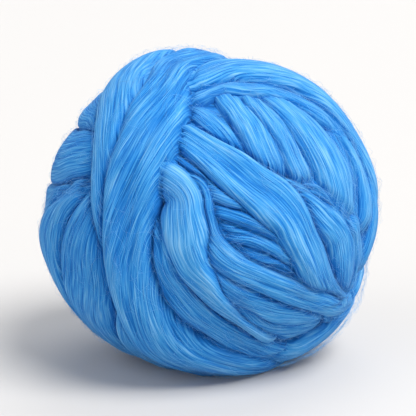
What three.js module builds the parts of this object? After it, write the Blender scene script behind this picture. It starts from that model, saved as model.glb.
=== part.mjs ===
// Chunky yarn ball: one length of thick, unspun wool roving wound into a ball, as one solid.
// Millimetres, +Z up. The front, as it is usually seen, looks towards -Y.
// The ball rests on a small flat spot, whose middle is the origin.

import * as THREE from "three";
import { mergeVertices } from "three/addons/utils/BufferGeometryUtils.js";

// Sizes of the ball and of the roving
const CORE_RADIUS = 93.5; // ball under the first wraps
const WIND_RADIUS = 112; // radius at which lengths along and across a wrap are measured
const BALL_SHAPE = new THREE.Vector3(1.045, 1.01, 0.985); // a little wide, and settled by its weight
const FLAT_SPOT_DEPTH = 105.5; // from the ball's middle down to the surface that it rests on
const SINK = 0.56; // share of the wool below that a wrap stands on; the rest is squeezed down
const TUCKED_SHARE = 1.2; // full width of a wrap to the width that shows, as its edges are tucked in
const FULL_HALF_WIDTH = 24; // half width at which a wrap has its full crest height
const THINNING = 0.4; // how the crest falls as a wrap is drawn narrower
const LEAST_CREST_SHARE = 0.6; // of the crest, left on the narrowest stretches
const MOST_CREST_SHARE = 1.15; // of the crest, reached on the widest stretches
const END_TAPER = 18; // length in which a wrap's end thins out under the wraps above it
const ROUNDING = 3.2; // section of a wrap: how full it is, 2 being round
const EDGE_DROP = 0.55; // section of a wrap: how steeply its edges fall, less being steeper
const MEETING_DEPTH = 2.4; // groove along the line where two wraps meet
const MEETING_REACH = 1.8; // between the heights of two wraps, over which that groove fades

// How finely the winding and the solid are worked out
const STATION_STEP = 4; // along a wrap
const LEAST_STATIONS = 8; // along the shortest wrap
const STATION_REACH = 1.2; // station steps, ahead and behind, that a station covers
const NEAR_SIDE_COSINE = 0.9; // between a station and a direction on its own side of the ball
const LANES = 13; // across a wrap
const ALONG_SPREAD = 3; // stations over which the wool below is evened out
const ACROSS_SPREAD = 1.6; // lanes over which the wool below is evened out
const SPREAD_CUT_OFF = 2.5; // spreads away from its middle, where the evening out stops
const ROUTE_SUBSTEPS = 24; // fine steps between two route points, before they are spaced evenly
const FACET_DETAIL = 23; // splits of each edge of an icosahedron: 20 x 24 x 24 triangles
const NARROW_SIDE = { turn: 22, rise: 14 }; // middle of the side where the wraps are narrow
const CLOSENESS = 1.4; // of the facets there, to those of an even sphere
const SAME_CORNER = 1e-4; // distance on the unit sphere within which two corners are one
const LEAST_ALTITUDE = 0.16; // of a facet's first altitude, below which a corner isn't moved
const MOST_SLIDE = 0.5; // of the way to the next corner, past which that corner is the nearer one
const CREASE_HALVINGS = 9; // of the way between two corners, until the crease is found

// Inner wraps, each a full circle round the core
const INNER_HALF_WIDTH = 26;
const INNER_CREST = 7;
const INNER_POINTS = 8; // route points of one circle
const UPRIGHT_POLE_RISE = 80; // degrees, from which a pole counts as upright

// Columns: turn and rise of the circle's pole, in degrees.
const INNER_POLES = [
  { turn: 20, rise: 5 },
  { turn: 80, rise: 10 },
  { turn: 0, rise: 88 },
  { turn: 140, rise: -5 },
  { turn: 50, rise: 40 },
  { turn: -10, rise: 45 },
  { turn: 110, rise: 50 },
  { turn: -60, rise: 50 },
  { turn: 170, rise: 40 },
];

// The outer wraps, in the order in which they are wound: each lies over those before it, and
// the four whose names start with under hold up the ones that cover them.
// crest is how far the wrap's middle stands up, lift is how far its whole width is raised.
// Columns of a route: turn round the ball from the front, rise above its middle (both in
// degrees), and half of the width that shows.
const WRAPS = [
  {
    name: "core_c",
    crest: 12,
    lift: 2,
    route: [
      [-14, 2, 8], [4, 0, 8], [11, -2, 9], [17, -4, 9], [25, -6, 9], [32, -11, 8], [41, -18, 7],
    ],
  },
  {
    name: "core_b",
    crest: 12,
    lift: 2,
    route: [
      [-15, 9, 8], [-1, 8, 8], [5, 7, 9], [13, 6, 10], [20, 3, 10], [27, -2, 9], [35, -9, 8],
    ],
  },
  {
    name: "core_a",
    crest: 12,
    lift: 2,
    route: [
      [-18, 16, 8], [-4, 15, 8], [3, 15, 9], [10, 13, 10], [17, 10, 10], [25, 5, 9], [32, -1, 8],
    ],
  },
  {
    name: "peek",
    crest: 11,
    lift: 3,
    route: [
      [-40, 38, 10], [-24, 34, 10], [-15, 30, 9], [-10, 27, 9], [-6, 25, 9], [-2, 22, 9],
      [3, 20, 8], [8, 18, 8], [14, 16, 7], [20, 14, 6],
    ],
  },
  {
    name: "back_a",
    crest: 13,
    route: [
      [80, 50, 16], [115, 35, 20], [150, 12, 21], [-175, -12, 21], [-140, -34, 20], [-95, -50, 18],
      [-45, -55, 16],
    ],
  },
  {
    name: "back_b",
    crest: 13,
    route: [
      [-90, 66, 16], [-130, 52, 20], [-172, 30, 21], [156, 3, 21], [130, -25, 20], [100, -48, 18],
      [50, -64, 16],
    ],
  },
  {
    name: "back_c",
    crest: 13,
    route: [
      [-130, 74, 16], [-120, 42, 20], [-117, 10, 21], [-121, -22, 21], [-130, -52, 20],
      [-175, -74, 16],
    ],
  },
  {
    name: "fan_a",
    crest: 10,
    lift: 1,
    route: [
      [-30, 57, 8], [-16, 54, 8], [-6, 51, 9], [1, 47, 9], [7, 42, 9], [11, 37, 9], [15, 33, 8],
      [19, 28, 8],
    ],
  },
  {
    name: "fan_d",
    crest: 10,
    route: [
      [37, 52, 5], [38, 43, 5], [40, 38, 5], [42, 32, 6], [44, 27, 6], [46, 21, 6], [50, 15, 6],
      [55, 9, 6], [61, 3, 6],
    ],
  },
  {
    name: "rim_a",
    crest: 9,
    lift: 1,
    route: [
      [93, 47, 9], [80, 40, 9], [72, 33, 10], [69, 26, 10], [67, 20, 10], [64, 14, 10], [61, 8, 9],
      [58, 2, 8],
    ],
  },
  {
    name: "fan_e",
    crest: 12,
    route: [
      [44, 67, 13], [46, 58, 14], [49, 50, 15], [51, 43, 17], [52, 35, 18], [53, 28, 18],
      [54, 21, 18], [54, 13, 15], [54, 5, 13], [53, -3, 11],
    ],
  },
  {
    name: "fan_b",
    crest: 12,
    route: [
      [10, 74, 11], [13, 68, 11], [15, 61, 12], [18, 53, 12], [21, 46, 13], [23, 39, 13],
      [25, 33, 12], [27, 27, 11], [29, 21, 9],
    ],
  },
  {
    name: "fan_c",
    crest: 12,
    lift: 1,
    route: [
      [32, 68, 7], [29, 57, 7], [32, 47, 8], [34, 40, 8], [35, 34, 8], [36, 28, 8], [38, 22, 8],
      [40, 17, 7],
    ],
  },
  {
    name: "rim_b",
    crest: 12,
    lift: 2,
    route: [
      [72, 62, 11], [79, 47, 11], [80, 34, 11], [78, 20, 11], [74, 6, 10], [69, -6, 9],
    ],
  },
  {
    name: "rim_c",
    crest: 13,
    lift: 3,
    route: [
      [150, 50, 16], [118, 40, 16], [100, 26, 15], [90, 10, 14], [84, -2, 13], [79, -14, 12],
      [72, -27, 11],
    ],
  },
  {
    name: "sash_c",
    crest: 13,
    lift: 1,
    route: [
      [11, 33, 7], [18, 27, 7], [26, 21, 8], [31, 18, 9], [36, 15, 10], [42, 8, 12], [50, 0, 13],
      [55, -9, 14], [60, -18, 13], [64, -26, 11], [76, -37, 10], [100, -52, 12],
    ],
  },
  {
    name: "sash_a",
    crest: 14,
    lift: 2,
    route: [
      [-50, 50, 14], [-28, 45, 12], [-14, 41, 11], [-7, 38, 11], [0, 34, 12], [7, 29, 14],
      [15, 22, 15], [22, 16, 16], [27, 10, 15], [31, 2, 13], [35, -5, 13], [40, -13, 12],
      [48, -21, 9], [62, -30, 9], [95, -49, 15], [135, -48, 18], [180, -32, 18], [-141, 0, 18],
    ],
  },
  {
    name: "sash_d",
    crest: 10,
    lift: 1,
    route: [
      [33, 21, 5], [40, 18, 6], [45, 14, 7], [51, 9, 7], [57, 3, 8], [63, -3, 10], [80, -36, 12],
      [88, -50, 12],
    ],
  },
  {
    name: "low_a",
    crest: 13,
    lift: 2,
    route: [
      [-10, 3, 10], [-3, -4, 10], [4, -13, 12], [10, -18, 12], [17, -22, 12], [25, -26, 12],
      [35, -29, 11], [46, -31, 10], [58, -31, 10], [90, -33, 14], [118, -20, 16], [145, 0, 16],
    ],
  },
  {
    name: "low_d",
    crest: 10,
    lift: 1,
    route: [
      [0, -12, 6], [6, -19, 7], [12, -27, 8], [18, -33, 9], [26, -38, 10], [36, -41, 10],
      [47, -43, 10], [60, -43, 9], [71, -39, 8],
    ],
  },
  {
    name: "low_c",
    crest: 10,
    lift: 1,
    route: [
      [-14, 26, 8], [-5, 20, 7], [-2, 13, 7], [1, 7, 7], [4, 3, 7], [7, -1, 7], [10, -5, 7],
      [14, -8, 7], [18, -10, 7], [24, -13, 7], [30, -16, 7], [38, -20, 7],
    ],
  },
  {
    name: "low_b",
    crest: 13,
    lift: 1,
    route: [
      [-30, 30, 13], [-12, 24, 9], [-4, 20, 8], [-3, 12, 9], [-1, 4, 9], [3, -2, 10], [9, -7, 10],
      [16, -11, 10], [23, -15, 10], [33, -20, 10], [45, -25, 10], [64, -32, 10], [105, -34, 15],
      [145, -24, 18], [175, -3, 18], [-150, 20, 18],
    ],
  },
  {
    name: "bend",
    crest: 14,
    lift: 2,
    route: [
      [-50, 40, 12], [-36, 34, 13], [-25, 29, 13], [-18, 25, 12], [-12, 21, 12], [-9, 17, 12],
      [-9, 12, 14], [-9, 6, 16], [-9, 1, 16], [-7, -6, 14], [-3, -12, 11], [1, -18, 8], [6, -24, 6],
      [11, -29, 4], [18, -35, 4], [26, -41, 5], [38, -46, 6],
    ],
  },
  {
    name: "under_keel",
    crest: 14,
    lift: 1,
    route: [
      [34, -62, 12], [58, -57, 15], [82, -50, 16], [102, -38, 14], [116, -22, 11],
    ],
  },
  {
    name: "keel_b",
    crest: 13,
    lift: 5,
    route: [
      [-30, -10, 9], [-20, -30, 10], [-2, -47, 10], [26, -56, 11], [56, -55, 13], [82, -43, 13],
      [105, -24, 16], [125, 0, 17], [132, 30, 17],
    ],
  },
  {
    name: "keel_a",
    crest: 13,
    lift: 1,
    route: [
      [-30, 20, 10], [-19, 3, 10], [-17, -4, 11], [-15, -11, 11], [-11, -18, 11], [-6, -25, 11],
      [0, -31, 10], [7, -37, 10], [15, -43, 10], [27, -49, 10], [48, -55, 10], [66, -54, 11],
      [92, -30, 15], [118, -8, 18], [142, 14, 18], [175, 34, 18], [-140, 46, 18],
    ],
  },
  {
    name: "left_f",
    crest: 11,
    lift: 2,
    route: [
      [-165, -42, 20], [-138, -34, 21], [-112, -24, 20], [-94, -14, 16], [-80, -4, 13], [-66, 4, 9],
    ],
  },
  {
    name: "left_a",
    crest: 11,
    lift: 2,
    route: [
      [-158, 26, 20], [-122, 39, 20], [-94, 45, 19], [-78, 45, 18], [-66, 45, 16], [-53, 41, 13],
      [-40, 36, 11],
    ],
  },
  {
    name: "left_c",
    crest: 12,
    lift: 5,
    route: [
      [-46, 20, 8], [-60, 9, 13], [-69, -4, 16], [-76, -20, 18], [-84, -40, 18], [-97, -62, 17],
      [-155, -76, 16],
    ],
  },
  {
    name: "left_b",
    crest: 11,
    lift: 1,
    route: [
      [-165, 4, 23], [-128, 13, 25], [-100, 21, 23], [-84, 23, 22], [-72, 25, 21], [-63, 28, 19],
      [-54, 30, 17], [-46, 32, 14], [-36, 32, 11],
    ],
  },
  {
    name: "left_e",
    crest: 11,
    lift: 2,
    route: [
      [-155, -20, 20], [-120, -8, 20], [-100, 1, 17], [-84, 6, 12], [-72, 10, 9], [-63, 13, 7],
      [-55, 16, 6], [-46, 18, 6], [-34, 21, 6],
    ],
  },
  {
    name: "left_d",
    crest: 13,
    lift: 1,
    route: [
      [-36, 24, 8], [-41, 15, 11], [-46, 4, 16], [-51, -13, 22], [-57, -31, 22], [-62, -50, 19],
      [-64, -72, 18], [150, -74, 17],
    ],
  },
  {
    name: "back_g",
    crest: 12,
    route: [
      [-150, 84, 14], [160, 72, 18], [139, 56, 19], [131, 36, 19], [132, 12, 18], [130, -12, 16],
      [128, -24, 12],
    ],
  },
  {
    name: "back_h",
    crest: 12,
    route: [
      [96, 66, 12], [107, 44, 14], [110, 20, 15], [108, -4, 15], [102, -26, 15], [90, -46, 14],
      [72, -62, 12],
    ],
  },
  {
    name: "back_e",
    crest: 13,
    route: [
      [95, 68, 16], [118, 42, 20], [123, 14, 21], [118, -14, 20], [106, -38, 18], [80, -60, 16],
    ],
  },
  {
    name: "back_f",
    crest: 13,
    route: [
      [160, 78, 16], [-178, 56, 20], [-173, 28, 22], [-171, 0, 22], [-169, -28, 22],
      [-172, -54, 21], [175, -76, 19], [40, -84, 16],
    ],
  },
  {
    name: "back_d",
    crest: 13,
    lift: 1,
    route: [
      [178, 66, 16], [-164, 45, 20], [-151, 16, 22], [-144, -14, 22], [-138, -44, 20],
      [-105, -68, 16],
    ],
  },
  {
    name: "under_crown",
    crest: 12,
    lift: 2,
    route: [
      [20, 76, 11], [52, 73, 14], [76, 64, 15], [86, 50, 13], [92, 36, 10],
    ],
  },
  {
    name: "under_front",
    crest: 7,
    route: [
      [-34, 56, 12], [-8, 66, 9], [18, 70, 9], [44, 67, 9], [64, 56, 9], [76, 44, 8],
    ],
  },
  {
    name: "crown_b",
    crest: 12,
    lift: 1,
    route: [
      [-55, 52, 11], [-24, 57, 8], [-12, 60, 8], [0, 65, 8], [10, 67, 8], [20, 66, 8], [32, 64, 8],
      [45, 62, 8], [56, 58, 8], [64, 52, 8], [72, 45, 8], [79, 35, 7], [82, 22, 6],
    ],
  },
  {
    name: "crown_a",
    crest: 14,
    lift: 1,
    route: [
      [-60, 58, 16], [-25, 69, 16], [25, 79, 17], [66, 72, 17], [84, 60, 16], [90, 44, 15],
      [93, 28, 13], [93, 13, 12], [95, -2, 12], [100, -16, 12], [106, -30, 12], [114, -44, 12],
      [126, -57, 12],
    ],
  },
  {
    name: "under_arch",
    crest: 16,
    lift: 3,
    route: [
      [-165, 72, 14], [-132, 72, 18], [-112, 70, 19], [-88, 65, 18], [-64, 57, 14], [-42, 56, 11],
    ],
  },
  {
    name: "arch_a",
    closed: true,
    crest: 13,
    lift: 3,
    route: [
      [-140, 70, 15], [-92, 71, 17], [-60, 58, 20], [-46, 44, 17], [-40, 29, 14], [-37, 15, 12],
      [-34, 2, 10], [-31, -12, 10], [-31, -28, 13], [-34, -48, 18], [-20, -70, 18], [100, -76, 18],
      [152, -48, 18], [164, -12, 18], [171, 22, 18], [-176, 52, 18],
    ],
  },
  {
    name: "arch_b",
    closed: true,
    crest: 15,
    lift: 1,
    route: [
      [-130, 84, 16], [-50, 75, 15], [-31, 62, 15], [-27, 48, 19], [-26, 33, 20], [-27, 19, 19],
      [-28, 5, 17], [-28, -9, 17], [-25, -25, 18], [-19, -41, 21], [3, -57, 22], [45, -69, 22],
      [112, -60, 20], [138, -30, 20], [148, 5, 20], [160, 36, 19], [-178, 66, 18],
    ],
  },
];

const toRadians = THREE.MathUtils.degToRad;
const toDegrees = THREE.MathUtils.radToDeg;

// A unit vector from a turn round the ball and a rise above its middle.
function direction(turn, rise) {
  const t = toRadians(turn);
  const r = toRadians(rise);
  return new THREE.Vector3(Math.sin(t) * Math.cos(r), -Math.cos(t) * Math.cos(r), Math.sin(r));
}

// One value of a smooth curve through b and c, with a and d the values on either side.
function smoothCurve(a, b, c, d, t) {
  const linear = (c - a) * t;
  const square = (2 * a - 5 * b + 4 * c - d) * t * t;
  const cube = (3 * b - a - 3 * c + d) * t * t * t;
  return 0.5 * (2 * b + linear + square + cube);
}

// The route as closely spaced points of x, y, z and half width, through every route point.
function fineRoute(points, closed) {
  const count = points.length;
  const spans = closed ? count : count - 1;
  const mirrored = (end, next) => end.map((value, k) => 2 * value - next[k]);
  const at = (i) => {
    if (closed) {
      return points[(i + count) % count];
    }
    if (i < 0) {
      return mirrored(points[0], points[1]);
    }
    if (i >= count) {
      return mirrored(points[count - 1], points[count - 2]);
    }
    return points[i];
  };
  const fine = [];
  for (let i = 0; i < spans; i++) {
    const [a, b, c, d] = [at(i - 1), at(i), at(i + 1), at(i + 2)];
    for (let s = 0; s < ROUTE_SUBSTEPS; s++) {
      fine.push(b.map((_, k) => smoothCurve(a[k], b[k], c[k], d[k], s / ROUTE_SUBSTEPS)));
    }
  }
  fine.push(closed ? points[0] : points[count - 1]);
  return fine;
}

// The height of a wrap's section above its edges, as a share, at t from -1 to 1 across it.
function sectionHeight(t) {
  return Math.pow(Math.max(0, 1 - Math.pow(Math.abs(t), ROUNDING)), EDGE_DROP);
}

// One wrap: evenly spaced stations on the unit sphere, with the wool that lies below it.
class Wrap {
  constructor({ route, closed = false, crest, lift = 0, share = TUCKED_SHARE }) {
    this.closed = closed;
    this.lift = lift;
    const points = route.map(([turn, rise, half]) => {
      const middle = direction(turn, rise);
      return [middle.x, middle.y, middle.z, half * share];
    });
    this.spaceEvenly(fineRoute(points, closed));
    this.setFrames();
    this.setCrest(crest);
  }

  spaceEvenly(fine) {
    const middles = fine.map(([x, y, z]) => new THREE.Vector3(x, y, z).normalize());
    const reach = [0];
    for (let i = 1; i < middles.length; i++) {
      reach.push(reach[i - 1] + middles[i].distanceTo(middles[i - 1]) * WIND_RADIUS);
    }
    this.length = reach[reach.length - 1];
    const count = Math.max(LEAST_STATIONS, Math.round(this.length / STATION_STEP));
    const gaps = this.closed ? count : count - 1;
    this.stations = [];
    let k = 0;
    for (let i = 0; i < count; i++) {
      const along = (this.length * i) / gaps;
      while (k < reach.length - 2 && reach[k + 1] < along) {
        k++;
      }
      const f = (along - reach[k]) / (reach[k + 1] - reach[k]);
      const middle = middles[k].clone().lerp(middles[k + 1], f).normalize();
      const half = THREE.MathUtils.lerp(fine[k][3], fine[k + 1][3], f);
      this.stations.push({ along, middle, half });
    }
  }

  setFrames() {
    const count = this.stations.length;
    const near = (i) => (this.closed ? (i + count) % count : THREE.MathUtils.clamp(i, 0, count - 1));
    this.stations.forEach((station, i) => {
      const ahead = this.stations[near(i + 1)].middle.clone().sub(this.stations[near(i - 1)].middle);
      ahead.addScaledVector(station.middle, -ahead.dot(station.middle)).normalize();
      station.ahead = ahead;
      station.across = station.middle.clone().cross(ahead);
    });
  }

  setCrest(crest) {
    for (const station of this.stations) {
      const toEnd = Math.min(station.along, this.length - station.along);
      const taper = this.closed ? 1 : Math.sqrt(THREE.MathUtils.clamp(toEnd / END_TAPER, 0, 1));
      const thickness = Math.pow(station.half / FULL_HALF_WIDTH, THINNING);
      const share = THREE.MathUtils.clamp(thickness, LEAST_CREST_SHARE, MOST_CREST_SHARE);
      station.crest = crest * taper * share;
    }
  }

  // The direction at a station and lane.
  laneDirection(station, lane) {
    const angle = (station.half * (-1 + (2 * lane) / (LANES - 1))) / WIND_RADIUS;
    const side = station.across.clone().multiplyScalar(Math.sin(angle));
    return side.addScaledVector(station.middle, Math.cos(angle));
  }

  // The height of this wrap over a direction, or null where it doesn't reach.
  heightAt(d) {
    let nearest = null;
    let closest = -Infinity;
    for (const station of this.stations) {
      const m = station.middle;
      const cosine = m.x * d.x + m.y * d.y + m.z * d.z;
      if (cosine > closest) {
        closest = cosine;
        nearest = station;
      }
    }
    const ahead = nearest.ahead.dot(d) * WIND_RADIUS;
    const aside = Math.asin(THREE.MathUtils.clamp(nearest.across.dot(d), -1, 1)) * WIND_RADIUS;
    const t = aside / nearest.half;
    const covered = Math.abs(ahead) < STATION_STEP * STATION_REACH && Math.abs(t) < 1;
    if (!covered || closest <= NEAR_SIDE_COSINE) {
      return null;
    }
    const x = ((t + 1) / 2) * (LANES - 1);
    const lane = Math.min(Math.floor(x), LANES - 2);
    const below = THREE.MathUtils.lerp(nearest.below[lane], nearest.below[lane + 1], x - lane);
    return SINK * below + this.lift + nearest.crest * sectionHeight(t);
  }

  // Lay this wrap over those already wound: it follows the wool below it, evened out.
  layOver(wound) {
    const heights = this.stations.map((station) => {
      const row = [];
      for (let lane = 0; lane < LANES; lane++) {
        row.push(heightOver(wound, this.laneDirection(station, lane)));
      }
      return row;
    });
    const count = heights.length;
    const wrapped = (i) => (i + count) % count;
    const held = (i, last) => THREE.MathUtils.clamp(i, 0, last);
    const along = spread(ALONG_SPREAD);
    const across = spread(ACROSS_SPREAD);
    const evened = heights.map((row, i) =>
      row.map((_, lane) =>
        along.reduce((sum, { shift, weight }) => {
          const k = this.closed ? wrapped(i + shift) : held(i + shift, count - 1);
          return sum + weight * heights[k][lane];
        }, 0),
      ),
    );
    this.stations.forEach((station, i) => {
      station.below = evened[i].map((_, lane) =>
        across.reduce((sum, { shift, weight }) => {
          return sum + weight * evened[i][held(lane + shift, LANES - 1)];
        }, 0),
      );
    });
  }
}

// Bell-shaped weights that add up to 1.
function spread(sigma) {
  const reach = Math.ceil(sigma * SPREAD_CUT_OFF);
  const rows = [];
  for (let shift = -reach; shift <= reach; shift++) {
    rows.push({ shift, weight: Math.exp(-0.5 * (shift / sigma) ** 2) });
  }
  const total = rows.reduce((sum, row) => sum + row.weight, 0);
  return rows.map(({ shift, weight }) => ({ shift, weight: weight / total }));
}

// The height of the wound wool above the core over a direction.
function heightOver(wound, d) {
  return wound.reduce((highest, wrap) => Math.max(highest, wrap.heightAt(d) ?? 0), 0);
}

// An inner wrap: a full circle at right angles to its pole.
function innerWrap({ turn, rise }) {
  const pole = direction(turn, rise);
  const upright = Math.abs(rise) >= UPRIGHT_POLE_RISE;
  const helper = upright ? new THREE.Vector3(0, 1, 0) : new THREE.Vector3(0, 0, 1);
  const first = pole.clone().cross(helper).normalize();
  const second = pole.clone().cross(first);
  const route = [];
  for (let i = 0; i < INNER_POINTS; i++) {
    const angle = (2 * Math.PI * i) / INNER_POINTS;
    const d = first.clone().multiplyScalar(Math.cos(angle)).addScaledVector(second, Math.sin(angle));
    route.push([toDegrees(Math.atan2(d.x, -d.y)), toDegrees(Math.asin(d.z)), INNER_HALF_WIDTH]);
  }
  return new Wrap({ route, closed: true, crest: INNER_CREST, share: 1 });
}

// All wraps, each laid over those before it.
function windBall() {
  const wound = [];
  for (const wrap of [...INNER_POLES.map(innerWrap), ...WRAPS.map((row) => new Wrap(row))]) {
    wrap.layOver(wound);
    wound.push(wrap);
  }
  return wound;
}

// The radius of the ball over a direction, and what its surface is there: a wrap or the flat spot.
// Where the two highest wraps are level, the surface dips into the groove between them.
function surfaceAt(wound, d) {
  let owner = -1;
  let height = 0;
  let second = 0;
  wound.forEach((wrap, i) => {
    const reached = wrap.heightAt(d) ?? 0;
    if (reached > height) {
      second = height;
      height = reached;
      owner = i;
    } else if (reached > second) {
      second = reached;
    }
  });
  const groove = MEETING_DEPTH * Math.exp((second - height) / MEETING_REACH);
  const radius = CORE_RADIUS + height - groove;
  const floor = d.z < 0 ? FLAT_SPOT_DEPTH / (-d.z * BALL_SHAPE.z) : Infinity;
  return radius < floor ? { radius, owner } : { radius: floor, owner: wound.length };
}

// Where the surface changes hands between two directions, as a share of the way.
function changeover(wound, from, to, owner) {
  let near = 0;
  let far = 1;
  for (let i = 0; i < CREASE_HALVINGS; i++) {
    const middle = (near + far) / 2;
    const d = from.clone().lerp(to, middle).normalize();
    if (surfaceAt(wound, d).owner === owner) {
      near = middle;
    } else {
      far = middle;
    }
  }
  return far;
}

// The smallest altitude of a triangle of directions, negative when it is turned over.
function altitude(a, b, c) {
  const normal = b.clone().sub(a).cross(c.clone().sub(a));
  const longest = Math.max(a.distanceTo(b), b.distanceTo(c), c.distanceTo(a));
  return (Math.sign(normal.dot(a)) * normal.length()) / longest;
}

// Slide the facet corners nearest a crease onto it, so that the crease is a clean line.
function slideOntoCreases(wound, directions, facets) {
  const owners = directions.map((d) => surfaceAt(wound, d).owner);
  const facetsAt = directions.map(() => []);
  const neighbours = directions.map(() => new Set());
  for (const facet of facets) {
    facet.forEach((corner, k) => {
      facetsAt[corner].push(facet);
      neighbours[corner].add(facet[(k + 1) % 3]);
      neighbours[corner].add(facet[(k + 2) % 3]);
    });
  }
  const facetAltitude = (facet) => altitude(...facet.map((corner) => directions[corner]));
  const least = new Map(facets.map((facet) => [facet, LEAST_ALTITUDE * facetAltitude(facet)]));
  const moves = [];
  directions.forEach((d, corner) => {
    let shortest = { way: MOST_SLIDE, target: null };
    for (const other of neighbours[corner]) {
      if (owners[other] === owners[corner]) {
        continue;
      }
      const way = changeover(wound, d, directions[other], owners[corner]);
      if (way < shortest.way) {
        shortest = { way, target: d.clone().lerp(directions[other], way).normalize() };
      }
    }
    if (shortest.target) {
      moves.push({ corner, ...shortest });
    }
  });
  moves.sort((a, b) => a.way - b.way);
  for (const { corner, target } of moves) {
    const before = directions[corner];
    directions[corner] = target;
    if (facetsAt[corner].some((facet) => facetAltitude(facet) < least.get(facet))) {
      directions[corner] = before;
    }
  }
}

// A direction, drawn towards the side where the wraps are narrow, which keeps the facets' shape.
function drawnCloser(d) {
  const focus = direction(NARROW_SIDE.turn, NARROW_SIDE.rise);
  const angle = focus.angleTo(d);
  const aside = d.clone().addScaledVector(focus, -focus.dot(d)).normalize();
  const closer = 2 * Math.atan(Math.tan(angle / 2) / CLOSENESS);
  return focus.multiplyScalar(Math.cos(closer)).addScaledVector(aside, Math.sin(closer));
}

// The solid: a split sphere pushed out to the wound wool and cut flat below.
function ballGeometry() {
  const sphere = new THREE.IcosahedronGeometry(1, FACET_DETAIL);
  sphere.deleteAttribute("normal");
  sphere.deleteAttribute("uv");
  const geometry = mergeVertices(sphere, SAME_CORNER);
  const position = geometry.getAttribute("position");
  const directions = [];
  for (let i = 0; i < position.count; i++) {
    directions.push(drawnCloser(new THREE.Vector3().fromBufferAttribute(position, i).normalize()));
  }
  const index = geometry.getIndex().array;
  const facets = [];
  for (let i = 0; i < index.length; i += 3) {
    facets.push([index[i], index[i + 1], index[i + 2]]);
  }
  const wound = windBall();
  slideOntoCreases(wound, directions, facets);
  directions.forEach((d, i) => {
    const { radius, owner } = surfaceAt(wound, d);
    const point = d.clone().multiplyScalar(radius).multiply(BALL_SHAPE);
    if (owner === wound.length) {
      point.z = -FLAT_SPOT_DEPTH;
    }
    position.setXYZ(i, point.x, point.y, point.z);
  });
  geometry.computeBoundingBox();
  const box = geometry.boundingBox;
  geometry.translate(-(box.min.x + box.max.x) / 2, -(box.min.y + box.max.y) / 2, -box.min.z);
  geometry.computeVertexNormals();
  return geometry;
}

const wool = new THREE.MeshStandardMaterial({ color: 0x4690d1, roughness: 0.85, metalness: 0 });

const ball = new THREE.Mesh(ballGeometry(), wool);
ball.name = "yarn_ball";

const model = new THREE.Group();
model.add(ball);

export default model;
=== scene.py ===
"""Looks of a ball wound by hand from thick, unspun blue wool roving, and the plain studio round it.

The ball is wound here as it is in the frame: each wrap is laid over those before it, and sinks into
them. Then each wrap gets a finer mesh with its fibre locks, and loose fibres are laid over the ball.
Lengths are in millimetres while the ball is wound, and in metres once a piece is placed.
"""

import logging
import math
from dataclasses import dataclass
from enum import Enum

import bpy
import numpy as np
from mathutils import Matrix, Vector


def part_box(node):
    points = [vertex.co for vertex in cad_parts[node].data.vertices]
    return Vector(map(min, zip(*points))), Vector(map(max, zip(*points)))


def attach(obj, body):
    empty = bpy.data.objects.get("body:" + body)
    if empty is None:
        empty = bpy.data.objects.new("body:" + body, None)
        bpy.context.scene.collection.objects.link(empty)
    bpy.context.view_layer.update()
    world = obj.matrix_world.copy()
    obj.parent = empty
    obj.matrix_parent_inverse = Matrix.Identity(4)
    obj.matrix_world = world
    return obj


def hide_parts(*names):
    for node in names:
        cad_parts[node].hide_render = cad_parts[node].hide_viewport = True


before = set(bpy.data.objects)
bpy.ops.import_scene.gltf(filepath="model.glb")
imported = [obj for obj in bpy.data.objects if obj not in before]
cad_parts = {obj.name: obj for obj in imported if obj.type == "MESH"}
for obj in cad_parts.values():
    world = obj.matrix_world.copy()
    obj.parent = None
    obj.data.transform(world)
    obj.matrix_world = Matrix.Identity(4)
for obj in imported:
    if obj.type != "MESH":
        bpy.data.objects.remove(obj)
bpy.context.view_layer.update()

Array = np.ndarray
Colour = tuple[float, float, float]
Socket = bpy.types.NodeSocket
NodeTree = bpy.types.NodeTree
MILLIMETRE = 0.001
NODE = "yarn_ball"
BODY = "root"
FIBRE_MAP = "fibres"
log = logging.getLogger("yarn_ball")


class Family(Enum):
    """The groups of wraps that are made as one piece each.

    The window is the gap at the front, between the wraps that cross there, where the heart shows.
    """

    HEART = "heart"  # narrow strands in the window
    BACK = "back"  # on the far side
    FAN = "fan"  # spread out above the window and to its right
    RIM = "rim"  # along the right edge
    SASH = "sash"  # slanting down across the front, from upper left to lower right
    LOW = "low"  # below the window
    BEND = "bend"  # turning down along the window's left side
    PROP = "prop"  # hidden wool that holds up the wraps over it
    KEEL = "keel"  # along the lower side
    LEFT = "left"  # on the left side
    CROWN = "crown"  # over the top
    ARCH = "arch"  # wound last, down the front on the window's left
    INNER = "inner"  # circles round the core, which hardly show


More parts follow.
